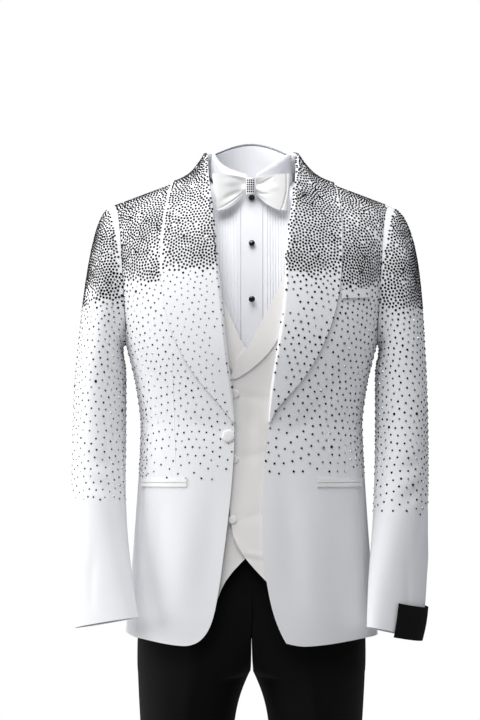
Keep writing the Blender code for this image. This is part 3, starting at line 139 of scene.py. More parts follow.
# %% Camera
EYE = Vector((-0.018, -3.4, -0.267))
LENS_MM, SENSOR_MM = 108.25, 36.0
bpy.ops.object.camera_add(location=EYE, rotation=(math.radians(90), 0.0, 0.0))
camera = bpy.context.object
camera.data.lens = LENS_MM
camera.data.sensor_width = SENSOR_MM
bpy.context.scene.camera = camera

# %% Floor
FLOOR_GAP, FLOOR_RADIUS, FLOOR_SIDES = 1.5 * MM, 2.6, 96
floor_z = cad_box[0].z - FLOOR_GAP
bpy.ops.mesh.primitive_circle_add(
    vertices=FLOOR_SIDES, radius=FLOOR_RADIUS, fill_type="NGON", location=(0, 0, floor_z)
)
floor = bpy.context.object
floor.name = "floor"
# Matt floor paint, rolled on: pale and even, with too little gloss to mirror the hems.
floor_paint, _, _ = new_material("floor_paint", "#E9EAEC", 0.75)
floor.data.materials.append(floor_paint)

# %% Lamps and world
LAMPS = (  # name, place, aim, size, watts, colour
    ("key", (-3.0, -0.6, 0.2), (0.0, 0.0, -0.40), 1.4, 47.0, "#FFFEFC"),
    ("front", (-0.4, -0.9, 1.4), (0.0, 0.0, 0.0), 1.5, 44.0, "#FFFFFF"),
    ("back", (-2.6, 1.2, 0.3), (0.0, 0.0, -0.40), 1.4, 32.0, "#FFFFFF"),
    ("edge", (2.9, -0.3, 0.2), (0.0, 0.0, -0.40), 1.4, 15.0, "#F6F8FF"),
)
for name, place, aim, size, watts, colour in LAMPS:
    bpy.ops.object.light_add(type="AREA", location=place)
    lamp = bpy.context.object
    lamp.name = f"lamp_{name}"
    lamp.rotation_euler = (Vector(aim) - Vector(place)).to_track_quat("-Z", "Y").to_euler()
    lamp.data.size = size
    lamp.data.energy = watts
    lamp.data.color = linear(colour)[:3]

world = bpy.data.worlds.new("studio")
bpy.context.scene.world = world
world.use_nodes = True
tree = world.node_tree
tree.nodes.clear()
seen = add_node(tree, "ShaderNodeBackground", Color=linear("#FFFFFF"), Strength=1.0)
fill = add_node(tree, "ShaderNodeBackground", Color=linear("#F4F5F8"), Strength=0.15)
ray = add_node(tree, "ShaderNodeLightPath")
both = add_node(
    tree, "ShaderNodeMixShader", _0=ray.outputs[0], _1=fill.outputs[0], _2=seen.outputs[0]
)
add_node(tree, "ShaderNodeOutputWorld", Surface=both.outputs[0])
bpy.context.scene.view_settings.view_transform = "Standard"
print("lamps", [lamp[0] for lamp in LAMPS])


# %% [markdown]
# ## The cloths
# Each cloth starts from what the real one is. Worsted wool is a matt plain weave with a little fuzz,
# so it has sheen and almost no gloss. Satin floats its threads, so it is smoother and catches the lamps
# along its folds. Poplin is fine, crisp and slightly blue from its whitener. The weave runs along the
# cloth, so its pattern reads the piece's own UV map, which is laid out in metres. Real threads are a
# third of a millimetre apart. They are drawn three times as coarse, or they would vanish in a picture.

# %% Woven materials
WAVE_TURN, WAVE_HALVES = 6.283, 2  # at scale 1 the wave texture repeats about every 2 / 6.283 m
CLOUD_SCALE = 9.0  # slow changes of shade, about a hand wide
CROSS_SHARE, CLOUD_SHARE = 0.35, 0.65  # what the threads and the clouds add to the shade
DARK_AT, LIGHT_AT = 0.25, 0.75
BUMP_STRENGTH = 0.35


def woven(name, hex_light, hex_dark, roughness, thread_mm, bump_mm, slub, **sockets):
    """A plain weave: two sets of threads as waves along U and V, with slight uneven shade."""
    material, tree, shader = new_material(name, hex_light, roughness, **sockets)
    uv = add_node(tree, "ShaderNodeUVMap", {"uv_map": "cloth"})
    waves = []
    for direction in ("X", "Y"):
        wave = add_node(
            tree, "ShaderNodeTexWave", {"wave_type": "BANDS", "bands_direction": direction},
            Vector=uv.outputs[0], Scale=1 / (thread_mm * MM) / WAVE_TURN * WAVE_HALVES,
            Distortion=slub, Detail=1.0, Detail_Scale=0.4,
        )
        waves.append(wave.outputs["Fac"])
    cross = add_node(tree, "ShaderNodeMath", {"operation": "MULTIPLY"}, _0=waves[0], _1=waves[1])
    cloud = add_node(
        tree, "ShaderNodeTexNoise", Vector=uv.outputs[0], Scale=CLOUD_SCALE, Detail=3.0, Roughness=0.55
    )
    shade = add_node(tree, "ShaderNodeMath", {"operation": "MULTIPLY_ADD"},
                     _0=cross.outputs[0], _1=CROSS_SHARE, _2=0.0)
    total = add_node(tree, "ShaderNodeMath", {"operation": "MULTIPLY_ADD"},
                     _0=cloud.outputs["Fac"], _1=CLOUD_SHARE, _2=shade.outputs[0])
    tint = add_node(tree, "ShaderNodeValToRGB", Fac=total.outputs[0])
    tint.color_ramp.elements[0].position = DARK_AT
    tint.color_ramp.elements[0].color = linear(hex_dark)
    tint.color_ramp.elements[1].position = LIGHT_AT
    tint.color_ramp.elements[1].color = linear(hex_light)
    bump = add_node(
        tree, "ShaderNodeBump", Height=cross.outputs[0], Distance=bump_mm * MM, Strength=BUMP_STRENGTH
    )
    tree.links.new(tint.outputs[0], shader.inputs["Base Color"])
    tree.links.new(bump.outputs[0], shader.inputs["Normal"])
    return material


WOVEN = {
    # Worsted wool, woven plain and shorn: matt, with a faint fuzz that lights up at grazing angles.
    "white_wool": woven(
        "white_worsted_wool", "#F6F6F8", "#EEEFF2", 0.88, 1.1, 0.10, 0.6,
        Sheen_Weight=0.18, Sheen_Roughness=0.5, Specular_IOR_Level=0.25,
    ),
    # Bleached satin, pressed: its threads float, so it glows softly along folds and gathers.
    "white_satin": woven(
        "white_satin_facing", "#FAFAFA", "#F4F4F4", 0.44, 0.9, 0.04, 0.3,
        Sheen_Weight=0.08, Specular_IOR_Level=0.45,
    ),
    # Undyed satin: a touch warmer and duller than the bow's, so the waistcoat stands apart.
    "ivory_satin": woven(
        "ivory_satin", "#F7F6F4", "#F0EEEC", 0.50, 0.9, 0.05, 0.3,
        Sheen_Weight=0.12, Specular_IOR_Level=0.40,
    ),
    # Cotton poplin, bleached and ironed: crisp, matt and faintly blue beside the satin.
    "white_cotton": woven(
        "white_cotton_poplin", "#F7F8FC", "#F2F4F9", 0.82, 0.9, 0.05, 0.4,
        Sheen_Weight=0.05, Specular_IOR_Level=0.25,
    ),
    # Barathea wool, dyed black: its broken weave scatters the light, so its folds hardly show.
    "black_wool": woven(
        "black_barathea_wool", "#0C0C0D", "#070708", 0.85, 1.2, 0.12, 0.5,
        Sheen_Weight=0.03, Sheen_Roughness=0.4, Specular_IOR_Level=0.12,
    ),
    # Woven tape, dyed black: dense and flat, a little smoother than the trousers.
    "black_tape": woven(
        "black_woven_tape", "#09090A", "#060607", 0.78, 1.0, 0.10, 0.3, Specular_IOR_Level=0.15
    ),
}
print("cloths", sorted(WOVEN))

# %% [markdown]
# ## From solid to cloth
# A solid arrives as loose triangles. The piece of cloth is a merged copy of it, with its triangles
# paired back into the rows and columns that the cloth was laid out in. Its hard edges are creased, a
# subdivision surface rounds the rest, and each ring of long edges is cut until the grid is even. Copying
# keeps every seam where it was, which modelling the cloth a second time wouldn't.

# %% Even, smooth cloth
HARD_EDGE = math.radians(38)
MERGE_GAP = 0.01 * MM
QUAD_FOLD = math.radians(100)  # how far two triangles may fold and still become one quad
INFLUENCES = (1.0, 1.5, 2.0)  # how much rows and columns count in the pairing, tried in this order
FIRST_LONG, NEXT_LONG, NEXT_ROUNDS = 3.2, 1.6, 2  # edges this many times the spacing are cut


def merged_copy(node, name):
    """A copy of a node's mesh, merged and paired into quads in the way that leaves fewest triangles."""
    best = None
    for influence in INFLUENCES:
        copy = bpy.data.objects.new(name, nodes[node].data.copy())
        bpy.context.scene.collection.objects.link(copy)
        edit(copy)
        bpy.ops.mesh.remove_doubles(threshold=MERGE_GAP)
        bpy.ops.mesh.tris_convert_to_quads(
            face_threshold=QUAD_FOLD,
            shape_threshold=math.pi,
            topology_influence=influence,
        )
        done()
        left = sum(len(face.vertices) == 3 for face in copy.data.polygons)
        if best is None or left < best[0]:
            if best:
                bpy.data.objects.remove(best[1])
            best = (left, copy)
        else:
            bpy.data.objects.remove(copy)
        if left == 0:
            break
    best[1].name = name
    return best[1]


def crease_hard_edges(piece, hard, pressed=None):
    """Creases the edges that are sharper than an angle, and those that a test calls pressed."""
    edit(piece, "EDGE", "DESELECT")
    bpy.ops.mesh.edges_select_sharp(sharpness=hard)
    done()
    if pressed:
        mesh = piece.data
        for edge in mesh.edges:
            if pressed(*(mesh.vertices[k].co for k in edge.vertices)):
                edge.select = True
    bpy.ops.object.mode_set(mode="EDIT")
    bpy.ops.transform.edge_crease(value=1.0)
    done()


def smooth_once(piece, hard, pressed=None):
    crease_hard_edges(piece, hard, pressed)
    only(piece)
    modifier = piece.modifiers.new("smooth", "SUBSURF")
    modifier.levels = modifier.render_levels = 1
    bpy.ops.object.modifier_apply(modifier=modifier.name)


def ring_groups(mesh):
    """The mesh's edges in rings: each ring's edges are opposite each other across quads."""
    links = list(range(len(mesh.edges)))

    def root(k):
        while links[k] != k:
            links[k] = links[links[k]]
            k = links[k]
        return k

    for face in mesh.polygons:
        if face.loop_total == 4:
            edges = [mesh.loops[k].edge_index for k in face.loop_indices]
            for a, b in ((0, 2), (1, 3)):
                links[root(edges[a])] = root(edges[b])
    rings = {}
    for k in range(len(links)):
        rings.setdefault(root(k), []).append(k)
    return list(rings.values())


def cut_long_rings(piece, longest):
    """Cuts every ring of edges that are longer than this on average, once."""
    mesh = piece.data
    ends = np.array([edge.vertices[:] for edge in mesh.edges])
    points = np.array([vertex.co for vertex in mesh.vertices])
    lengths = np.linalg.norm(points[ends[:, 0]] - points[ends[:, 1]], axis=1)
    chosen = [k for ring in ring_groups(mesh) if lengths[ring].mean() > longest for k in ring]
    if not chosen:
        return 0
    edit(piece, "EDGE", "DESELECT")
    done()
    for k in chosen:
        mesh.edges[k].select = True
    bpy.ops.object.mode_set(mode="EDIT")
    bpy.ops.mesh.subdivide(number_cuts=1)
    done()
    return len(chosen)


def cloth(node, spacing_mm, hard=HARD_EDGE, pressed=None):
    """The smooth cloth of one node, with points about this far apart."""
    piece = merged_copy(node, f"{node}_cloth")
    smooth_once(piece, hard, pressed)
    cut_long_rings(piece, FIRST_LONG * spacing_mm * MM)
    smooth_once(piece, hard, pressed)
    for _ in range(NEXT_ROUNDS):
        if not cut_long_rings(piece, NEXT_LONG * spacing_mm * MM):
            break
    piece.data.materials.clear()
    return piece


print("hard edges over", round(math.degrees(HARD_EDGE)), "degrees")


# %% [markdown]
# ## Folds
# Cloth hangs in soft troughs and ridges. Each fold is drawn as a short line in the piece's own unrolled
# coordinates: how far round it runs, in degrees from the front, and its height. A bell-shaped push
# along the line, fading at both ends, moves the wall in or out as a whole, so it keeps its thickness.
# A faint noise on top stands for the small unevenness that no real cloth is without.

# %% Pressing folds
FAR = 9.0  # metres, beyond any point of the suit
FOLD_ENDS = (0.04, 0.96)  # a fold still has an eighth of its depth where its line ends


class Wrap:
    """Coordinates round a bent, upright axis: the turn from the front, the height, and outwards."""

    def __init__(self, axis, half_x, half_y, top=FAR):
        self.axis = sorted(axis)  # (z, x, y)
        self.half_x, self.half_y, self.top = half_x, half_y, top

    def read(self, points):
        z = points[:, 2]
        keys = [row[0] for row in self.axis]
        x = points[:, 0] - np.interp(z, keys, [row[1] for row in self.axis])
        y = points[:, 1] - np.interp(z, keys, [row[2] for row in self.axis])
        turn = np.degrees(np.arctan2(x / self.half_x, -y / self.half_y))
        rise = np.maximum(z - self.top, 0.0)
        out = np.stack([x / self.half_x**2, y / self.half_y**2, rise / self.half_y**2], axis=1)
        out /= np.linalg.norm(out, axis=1)[:, None]
        return turn, z, out

    @property
    def radius(self):
        return (self.half_x + self.half_y) / 2


TORSO = Wrap([(-1.6, 0.0, 0.0), (0.1, 0.0, 0.0)], half_x=0.190, half_y=0.125, top=-0.075)
ARM = {
    side: Wrap(
        [(-0.72, sign * 0.221, -0.098), (-0.58, sign * 0.230, -0.061), (-0.48, sign * 0.236, -0.030),
         (-0.385, sign * 0.237, -0.008), (-0.285, sign * 0.235, 0.003), (-0.10, sign * 0.215, 0.004)],
        half_x=0.043, half_y=0.060, top=-0.10,
    )
    for side, sign in SIDES
}
LEG = {
    side: Wrap([(-1.6, sign * 0.101, 0.012), (-0.7, sign * 0.095, 0.006)], half_x=0.065, half_y=0.095)
    for side, sign in SIDES
}


def fold_push(turn, z, radius, folds):
    """How far each point is pushed by folds: (line of turns and heights, width and depth in mm)."""
    push = np.zeros(len(z))
    across = np.radians(turn) * radius
    for line, width_mm, depth_mm in folds:
        best = np.full(len(z), FAR)
        along = np.zeros(len(z))
        spans = [math.dist((math.radians(a[0]) * radius, a[1]), (math.radians(b[0]) * radius, b[1]))
                 for a, b in zip(line, line[1:])]
        total, gone = sum(spans), 0.0
        for (turn_a, z_a), (turn_b, z_b), span in zip(line, line[1:], spans):
            ax, bx = math.radians(turn_a) * radius, math.radians(turn_b) * radius
            share = ((across - ax) * (bx - ax) + (z - z_a) * (z_b - z_a)) / span**2
            share = np.clip(share, 0.0, 1.0)
            gap = np.hypot(across - ax - share * (bx - ax), z - z_a - share * (z_b - z_a))
            nearer = gap < best
            best = np.where(nearer, gap, best)
            along = np.where(nearer, (gone + share * span) / total, along)
            gone += span
        fade = np.sin(np.pi * np.clip(along, *FOLD_ENDS))
        push += depth_mm * MM * np.exp(-((best / (width_mm * MM)) ** 2)) * fade
    return push


def points_of(piece):
    points = np.zeros(len(piece.data.vertices) * 3)
    piece.data.vertices.foreach_get("co", points)
    return points.reshape(-1, 3)


def set_points(piece, points):
    piece.data.vertices.foreach_set("co", points.astype(np.float32).ravel())
    piece.data.update()


def tree_of(piece):
    """A tree that finds the nearest point of a piece's surface."""
    return BVHTree.FromPolygons(
        [vertex.co for vertex in piece.data.vertices],
        [face.vertices[:] for face in piece.data.polygons],
    )


def mirrored(folds, sign):
    """The folds of one side, their turns changed for the other where the sign is negative."""
    return [([(sign * turn, z) for turn, z in line], wide, deep) for line, wide, deep in folds]


LENGTHWISE = 0.45  # how often the unevenness changes up and down, against across
SEED_STEP = (7.3, 3.1, 1.0)  # where in the noise each seed reads


def unevenness(points, grain, height, seed):
    """Low noise, longer up and down than across, the same for both faces of a wall."""
    stretch = Vector((1 / grain, 1 / grain, LENGTHWISE / grain))
    place = Vector([seed * step for step in SEED_STEP])
    return np.array([noise.noise(Vector(p) * stretch + place) for p in points]) * height


def hang(piece, wrap, folds=(), grain=0.06, height=0.6 * MM, seed=1):
    """Presses folds into a piece round an axis and adds its unevenness."""
    points = points_of(piece)
    turn, z, out = wrap.read(points)
    push = fold_push(turn, z, wrap.radius, folds) + unevenness(points, grain, height, seed)
    set_points(piece, points + out * push[:, None])


def lay_uv(piece, wrap):
    """A UV map in metres that runs round and up the wrap, for the weave."""
    turn, z, _ = wrap.read(points_of(piece))
    across = np.radians(turn) * wrap.radius
    layer = piece.data.uv_layers.new(name="cloth")
    corners = np.zeros(len(piece.data.loops), dtype=np.int64)
    piece.data.loops.foreach_get("vertex_index", corners)
    flat = np.stack([across[corners], z[corners]], axis=1)
    layer.data.foreach_set("uv", flat.astype(np.float32).ravel())


# %% [markdown]
# ## Each piece's cut
# A tailor cuts each piece from a rectangle of cloth before it is shaped, and each one below is listed
# with the rectangle it comes from and the area of cloth that is left of it.

# %% Finishing a cloth piece
def finish_cloth(piece, node, material, cut, wrap, held="draped", rests_on=()):
    """Weave, smooth shading and a place under the root, with its node hidden; the cut is not used."""
    lay_uv(piece, wrap)
    piece.data.materials.append(WOVEN[material])
    only(piece)
    bpy.ops.object.shade_smooth_by_angle(angle=HARD_EDGE)
    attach(piece, "root")
    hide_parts(node)


made = {}


def make_cloth(node, material, cut, wrap, folds=(), spacing_mm=5.0, hard=HARD_EDGE, pressed=None, **how):
    """Makes the finished cloth of one node: smooth, with its folds and its weave; its cut is not used.
    """
    piece = cloth(node, spacing_mm, hard, pressed)
    hang(piece, wrap, folds, **{k: how.pop(k) for k in ("grain", "height", "seed") if k in how})
    finish_cloth(piece, node, material, cut, wrap, **how)
    made[node] = piece


# %% [markdown]
# ## Trousers
# Plain black trousers with a pressed crease. The cloth hangs straight from the seat and breaks very
# little, so its folds are long and shallow. Down the middle of each leg, in front and behind, runs the
# crease that the iron left. It is found by its place and kept sharp, and the rest of the leg is round.

# %% Trousers
LEG_EDGE = math.radians(31)
UPRIGHT = 0.8  # the least rise of an edge on the crease, as a share of its length


def pressed_test(wrap, reach=6.0):
    """A test for the upright edges that lie on the crease, within some degrees of the leg's middle."""

    def pressed(a, b):
        turn, _, _ = wrap.read(np.array([(a + b) / 2]))
        beside = min(abs(turn[0]), 180 - abs(turn[0]))
        return beside < reach and abs(a.z - b.z) > UPRIGHT * (a - b).length

    return pressed


LEG_FOLDS = [  # lines of (turn, height), the leg's outside positive, then width and depth in mm
    ([(-60, -0.80), (-40, -0.95), (-30, -1.10)], 22, -3.0),
    ([(50, -0.78), (42, -0.95)], 20, -2.5),
    ([(-20, -1.20), (30, -1.24), (70, -1.22)], 16, -2.0),
    ([(150, -0.84), (165, -0.98), (170, -1.12)], 24, -3.5),
    ([(-140, -0.85), (-150, -1.02)], 20, -3.0),
]
for side, sign in SIDES:
    folds = mirrored(LEG_FOLDS, sign)
    for face in ("front", "back"):
        make_cloth(
            f"trousers_{face}_{side}", "black_wool", (0.30, 1.14, 0.265), LEG[side], folds,
            spacing_mm=9.0, hard=LEG_EDGE, pressed=pressed_test(LEG[side]), height=0.9 * MM,
            grain=0.10, seed=2 + sign, held="hung", rests_on=["trousers_waistband"],
        )
make_cloth(
    "trousers_waistband", "black_wool", (0.86, 0.04, 0.033), TORSO, spacing_mm=9.0,
    height=0.2 * MM, seed=5, held="stretched",
)
print("trousers", sum(len(made[n].data.polygons) for n in made), "faces")


# %% [markdown]
# ## Waistcoat
# A low V-necked waistcoat with narrow lapels, cut to points below its three covered buttons. The
# satin pulls slightly across from the buttons and lies in shallow vertical folds over the waist.

# %% Waistcoat
WAIST_FOLDS = [  # the last two are a soft ridge above the points and the groove under it
    ([(6, -0.30), (4, -0.40), (6, -0.50)], 12, 0.9),
    ([(-3, -0.33), (-1, -0.45)], 9, -0.8),
    ([(-10, -0.318), (14, -0.330)], 7, -0.7),
    ([(-10, -0.418), (13, -0.405)], 7, -0.7),
    ([(-9, -0.510), (10, -0.498)], 7, -0.6),
    ([(-14, -0.516), (-9.9, -0.530), (-3.0, -0.560), (4.4, -0.5645), (10, -0.562)], 3.4, 1.5),
    ([(-14, -0.523), (-9.9, -0.537), (-3.6, -0.566), (4.4, -0.571), (10, -0.568)], 1.8, -0.9),
]
for side, _ in SIDES:
    make_cloth(
        f"waistcoat_front_{side}", "ivory_satin", (0.26, 0.66, 0.120), TORSO, WAIST_FOLDS,
        spacing_mm=2.6, height=0.35 * MM, seed=7, rests_on=[f"shirt_bib_{side}"],
    )
    make_cloth(
        f"waistcoat_lapel_{side}", "ivory_satin", (0.045, 0.36, 0.012), TORSO,
        spacing_mm=5.0, height=0.35 * MM, seed=7, rests_on=[f"waistcoat_front_{side}"],
    )
make_cloth(
    "waistcoat_back", "ivory_satin", (0.46, 0.60, 0.224), TORSO, spacing_mm=9.0, height=0.5 * MM,
    seed=9, rests_on=["shirt_back"],
)
print("waistcoat faces", sum(len(made[n].data.polygons) for n in made if "waistcoat" in n))


# %% [markdown]
# ## Shirt
# A dress shirt with nine sewn tucks on each side of its plain placket. The tucks are sharp edges in the
# solid already, so they are kept sharp and only smoothed lengthwise. The collar stands and folds over.

# %% Shirt
TUCK_EDGE = math.radians(30)
for side, _ in SIDES:
    make_cloth(
        f"shirt_bib_{side}", "white_cotton", (0.08, 0.49, 0.025), TORSO, spacing_mm=9.0,
        hard=TUCK_EDGE, height=0.2 * MM, seed=11,
    )
    make_cloth(
        f"shirt_side_{side}", "white_cotton", (0.13, 0.49, 0.056), TORSO, spacing_mm=9.0,
        height=0.2 * MM, seed=11,
    )
make_cloth("shirt_placket", "white_cotton", (0.035, 0.48, 0.016), TORSO, spacing_mm=5.0,
           height=0.2 * MM, seed=11)
make_cloth("shirt_back", "white_cotton", (0.40, 0.49, 0.169), TORSO, spacing_mm=9.0,
           height=0.4 * MM, seed=12)
NECK = Wrap([(-0.1, 0.0, 0.0), (0.1, 0.0, 0.0)], half_x=0.060, half_y=0.062)
make_cloth("shirt_collar_stand", "white_cotton", (0.39, 0.05, 0.0157), NECK, spacing_mm=4.0,
           height=0.1 * MM, seed=13, held="stretched")
make_cloth("shirt_collar_leaf", "white_cotton", (0.41, 0.06, 0.0168), NECK, spacing_mm=4.0,
           height=0.25 * MM, seed=13, held="folded")
print("shirt faces", sum(len(made[n].data.polygons) for n in made if "shirt" in n))

# %% [markdown]
# ## Bow tie
# Two loops of satin gathered into a wrapped knot. The gathers fan out from the knot and die away
# towards the ends.

# %% Bow tie
BOW_BEHIND, BOW_REACH = 0.30, 0.38  # an axis so far behind the bow that its turns are nearly flat
BOW = Wrap([(-0.1, 0.0, BOW_BEHIND), (0.1, 0.0, BOW_BEHIND)], half_x=BOW_REACH, half_y=BOW_REACH)
KNOT_EDGE = math.radians(55)
GATHERS = {  # (outwards, up) in millimetres from the bow's middle, then width and depth
    "right": [
        (((10, -5), (22, -10), (34, -16), (46, -24)), 4.0, -2.4),
        (((8, -8), (18, -14), (29, -23), (41, -31), (60, -40)), 0.9, -1.5),
        (((9, 2), (24, 4), (46, 6)), 5.0, 1.2),
        (((9, 7), (22, 11), (36, 13)), 2.2, -0.8),
    ],
    "left": [
        (((7, 1), (18, 6), (34, 14)), 1.3, -1.8),
        (((10, 1), (20, 4), (30, 8)), 1.2, -1.2),
        (((7, -9), (16, -12), (28, -13)), 1.6, -1.8),
        (((7, -13), (16, -20), (26, -29)), 2.0, -0.9),
        (((52, 30), (53, 12), (53, -8), (48, -30), (38, -50)), 1.0, -3.2),
        (((12, -3), (26, -3), (44, -3)), 5.0, 1.2),
    ],
}
WING_AREA = {"right": 0.0038, "left": 0.0043}
for side, sign in SIDES:
    gathers = []
    for line, wide, deep in GATHERS[side]:
        turned = [(sign * math.degrees(math.atan(x * MM / BOW_REACH)), z * MM) for x, z in line]
        gathers.append((turned, wide, deep))
    make_cloth(
        f"bow_wing_{side}", "white_satin", (0.12, 0.055, WING_AREA[side]), BOW, gathers, spacing_mm=1.0,
        height=0.35 * MM, grain=0.02, seed=14 + sign, held="gathered", rests_on=["bow_knot"],
    )
make_cloth("bow_band", "white_satin", (0.39, 0.018, 0.007), NECK, spacing_mm=5.0,
           height=0.1 * MM, seed=16, held="stretched", rests_on=["shirt_collar_stand"])
knot = cloth("bow_knot", 2.0, KNOT_EDGE)
lay_uv(knot, BOW)
knot.data.materials.append(WOVEN["white_satin"])
only(knot)
bpy.ops.object.shade_smooth()
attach(knot, "root")
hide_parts("bow_knot")
print("bow faces", sum(len(made[n].data.polygons) for n in made if "bow" in n))


# %% [markdown]
# ## Jacket
# The jacket is white worsted with a single covered button. Its fronts hang open and free, so they
# have long soft folds from the chest to the hem, and the sleeves have short ones across the elbow. The
# hidden sides get folds of the same kind, because real cloth doesn't know where it is looked at from.

# %% Jacket body
BODY_FOLDS = [  # turns in degrees from the front, the wearer's left positive
    ([(16, -0.40), (17, -0.52), (20, -0.66)], 16, -2.2),
    ([(27, -0.46), (29, -0.58), (30, -0.70)], 18, 2.4),
    ([(40, -0.44), (42, -0.56), (40, -0.70)], 17, -2.6),
    ([(54, -0.46), (55, -0.60), (52, -0.71)], 15, 2.0),
    ([(34, -0.33), (24, -0.37), (12, -0.385)], 12, -1.2),
    ([(50, -0.26), (40, -0.31), (30, -0.36)], 13, -1.2),
    ([(-18, -0.42), (-19, -0.54), (-22, -0.67)], 17, -2.0),
    ([(-31, -0.45), (-33, -0.60), (-33, -0.70)], 18, 2.0),
    ([(-47, -0.44), (-48, -0.57), (-46, -0.69)], 16, -2.4),
    ([(-34, -0.345), (-22, -0.375), (-13, -0.385)], 11, -1.3),
    ([(-52, -0.27), (-42, -0.315), (-30, -0.36)], 13, -1.2),
    ([(75, -0.30), (78, -0.42), (76, -0.52)], 16, -1.8),
    ([(-76, -0.29), (-79, -0.43), (-75, -0.54)], 16, -1.8),
    ([(112, -0.22), (128, -0.30), (140, -0.36)], 14, -2.0),
    ([(-110, -0.21), (-127, -0.29), (-143, -0.37)], 14, -2.0),
    ([(150, -0.42), (152, -0.55), (150, -0.70)], 18, 2.4),
    ([(-148, -0.43), (-151, -0.57), (-148, -0.70)], 18, 2.2),
    ([(132, -0.45), (134, -0.58), (133, -0.70)], 15, -2.2),
    ([(-131, -0.44), (-134, -0.59), (-132, -0.70)], 15, -2.2),
    ([(168, -0.33), (160, -0.37), (150, -0.39)], 10, -1.4),
    ([(-166, -0.32), (-159, -0.37), (-148, -0.385)], 10, -1.4),
]
for side, _ in SIDES:
    for part, cut in (("front", (0.24, 0.76, 0.117)), ("side", (0.15, 0.50, 0.059)),
                      ("back", (0.25, 0.76, 0.143))):
        make_cloth(
            f"jacket_{part}_{side}", "white_wool", cut, TORSO, BODY_FOLDS, spacing_mm=5.0,
            height=0.7 * MM, seed=21, rests_on=[f"waistcoat_front_{side}"],
        )
print("jacket body faces", sum(len(made[n].data.polygons) for n in made if "jacket" in n))

# %% Sleeves
SLEEVE_FOLDS = {  # turns are seen from above, the front 0 and the outside 90 on either arm
    "right": [
        ([(-30, -0.47), (20, -0.455), (60, -0.43)], 11, -2.6),
        ([(-40, -0.43), (10, -0.425), (40, -0.40)], 10, -2.0),
        ([(70, -0.30), (60, -0.42), (55, -0.55)], 16, -2.0),
        ([(20, -0.22), (25, -0.34), (20, -0.42)], 14, 1.8),
        ([(10, -0.55), (35, -0.60), (50, -0.66)], 13, -1.8),
        ([(140, -0.40), (110, -0.47), (95, -0.50)], 12, -2.4),
        ([(150, -0.50), (120, -0.53), (100, -0.60)], 13, 2.0),
    ],
    "left": [
        ([(-30, -0.49), (15, -0.475), (60, -0.45)], 11, -2.6),
        ([(-35, -0.44), (20, -0.43), (50, -0.41)], 11, -2.2),
        ([(65, -0.32), (62, -0.44), (50, -0.57)], 15, -2.2),
        ([(25, -0.20), (30, -0.33), (24, -0.44)], 15, 2.0),
        ([(5, -0.56), (30, -0.62), (48, -0.67)], 12, -2.0),
        ([(145, -0.41), (115, -0.46), (92, -0.51)], 12, -2.2),
        ([(150, -0.52), (118, -0.55), (98, -0.61)], 13, 2.0),
    ],
}
for side, sign in SIDES:
    folds = mirrored(SLEEVE_FOLDS[side], sign)
    for part, cut in (("upper", (0.30, 0.70, 0.149)), ("under", (0.12, 0.50, 0.0314))):
        make_cloth(
            f"{part}_sleeve_{side}", "white_wool", cut, ARM[side], folds, spacing_mm=5.0,
            height=0.7 * MM, seed=23 + sign, held="hung", rests_on=[f"jacket_front_{side}"],
        )
print("sleeve faces", sum(len(made[n].data.polygons) for n in made if "sleeve" in n))

# %% Shawl collar
for side, _ in SIDES:
    make_cloth(
        f"shawl_{side}", "white_wool", (0.16, 0.66, 0.0585), TORSO, spacing_mm=4.5,
        height=0.4 * MM, seed=25, held="folded", rests_on=[f"jacket_front_{side}"],
    )
print("shawl faces", sum(len(made[n].data.polygons) for n in made if "shawl" in n))

# %% Welt, pocket jets and cuff label
for side, _ in SIDES:
    for level in ("upper", "lower"):
        make_cloth(
            f"hip_jet_{level}_{side}", "white_satin", (0.09, 0.012, 0.0006), TORSO, BODY_FOLDS,
            spacing_mm=3.0, height=0.7 * MM, seed=21, held="laid", rests_on=[f"jacket_front_{side}"],
        )
make_cloth("breast_welt", "white_wool", (0.055, 0.016, 0.0007), TORSO, BODY_FOLDS, spacing_mm=3.0,
           height=0.7 * MM, seed=21, held="laid", rests_on=["jacket_front_left"])
make_cloth("cuff_label", "black_tape", (0.115, 0.055, 0.0058), ARM["left"], spacing_mm=4.0,
           height=0.3 * MM, seed=27, held="laid", rests_on=["upper_sleeve_left"])
print("pieces so far", len(made))


# %% [markdown]
# ## Darts
# A dart takes the fullness out of each front between the chest and the pocket. From outside it shows as
# one long, thin ridge where its two sides are sewn together. The ridge is a fine tube along a line of
# points that are dropped on the front. It is sunk by two thirds of its thickness and fades out at both
# ends.

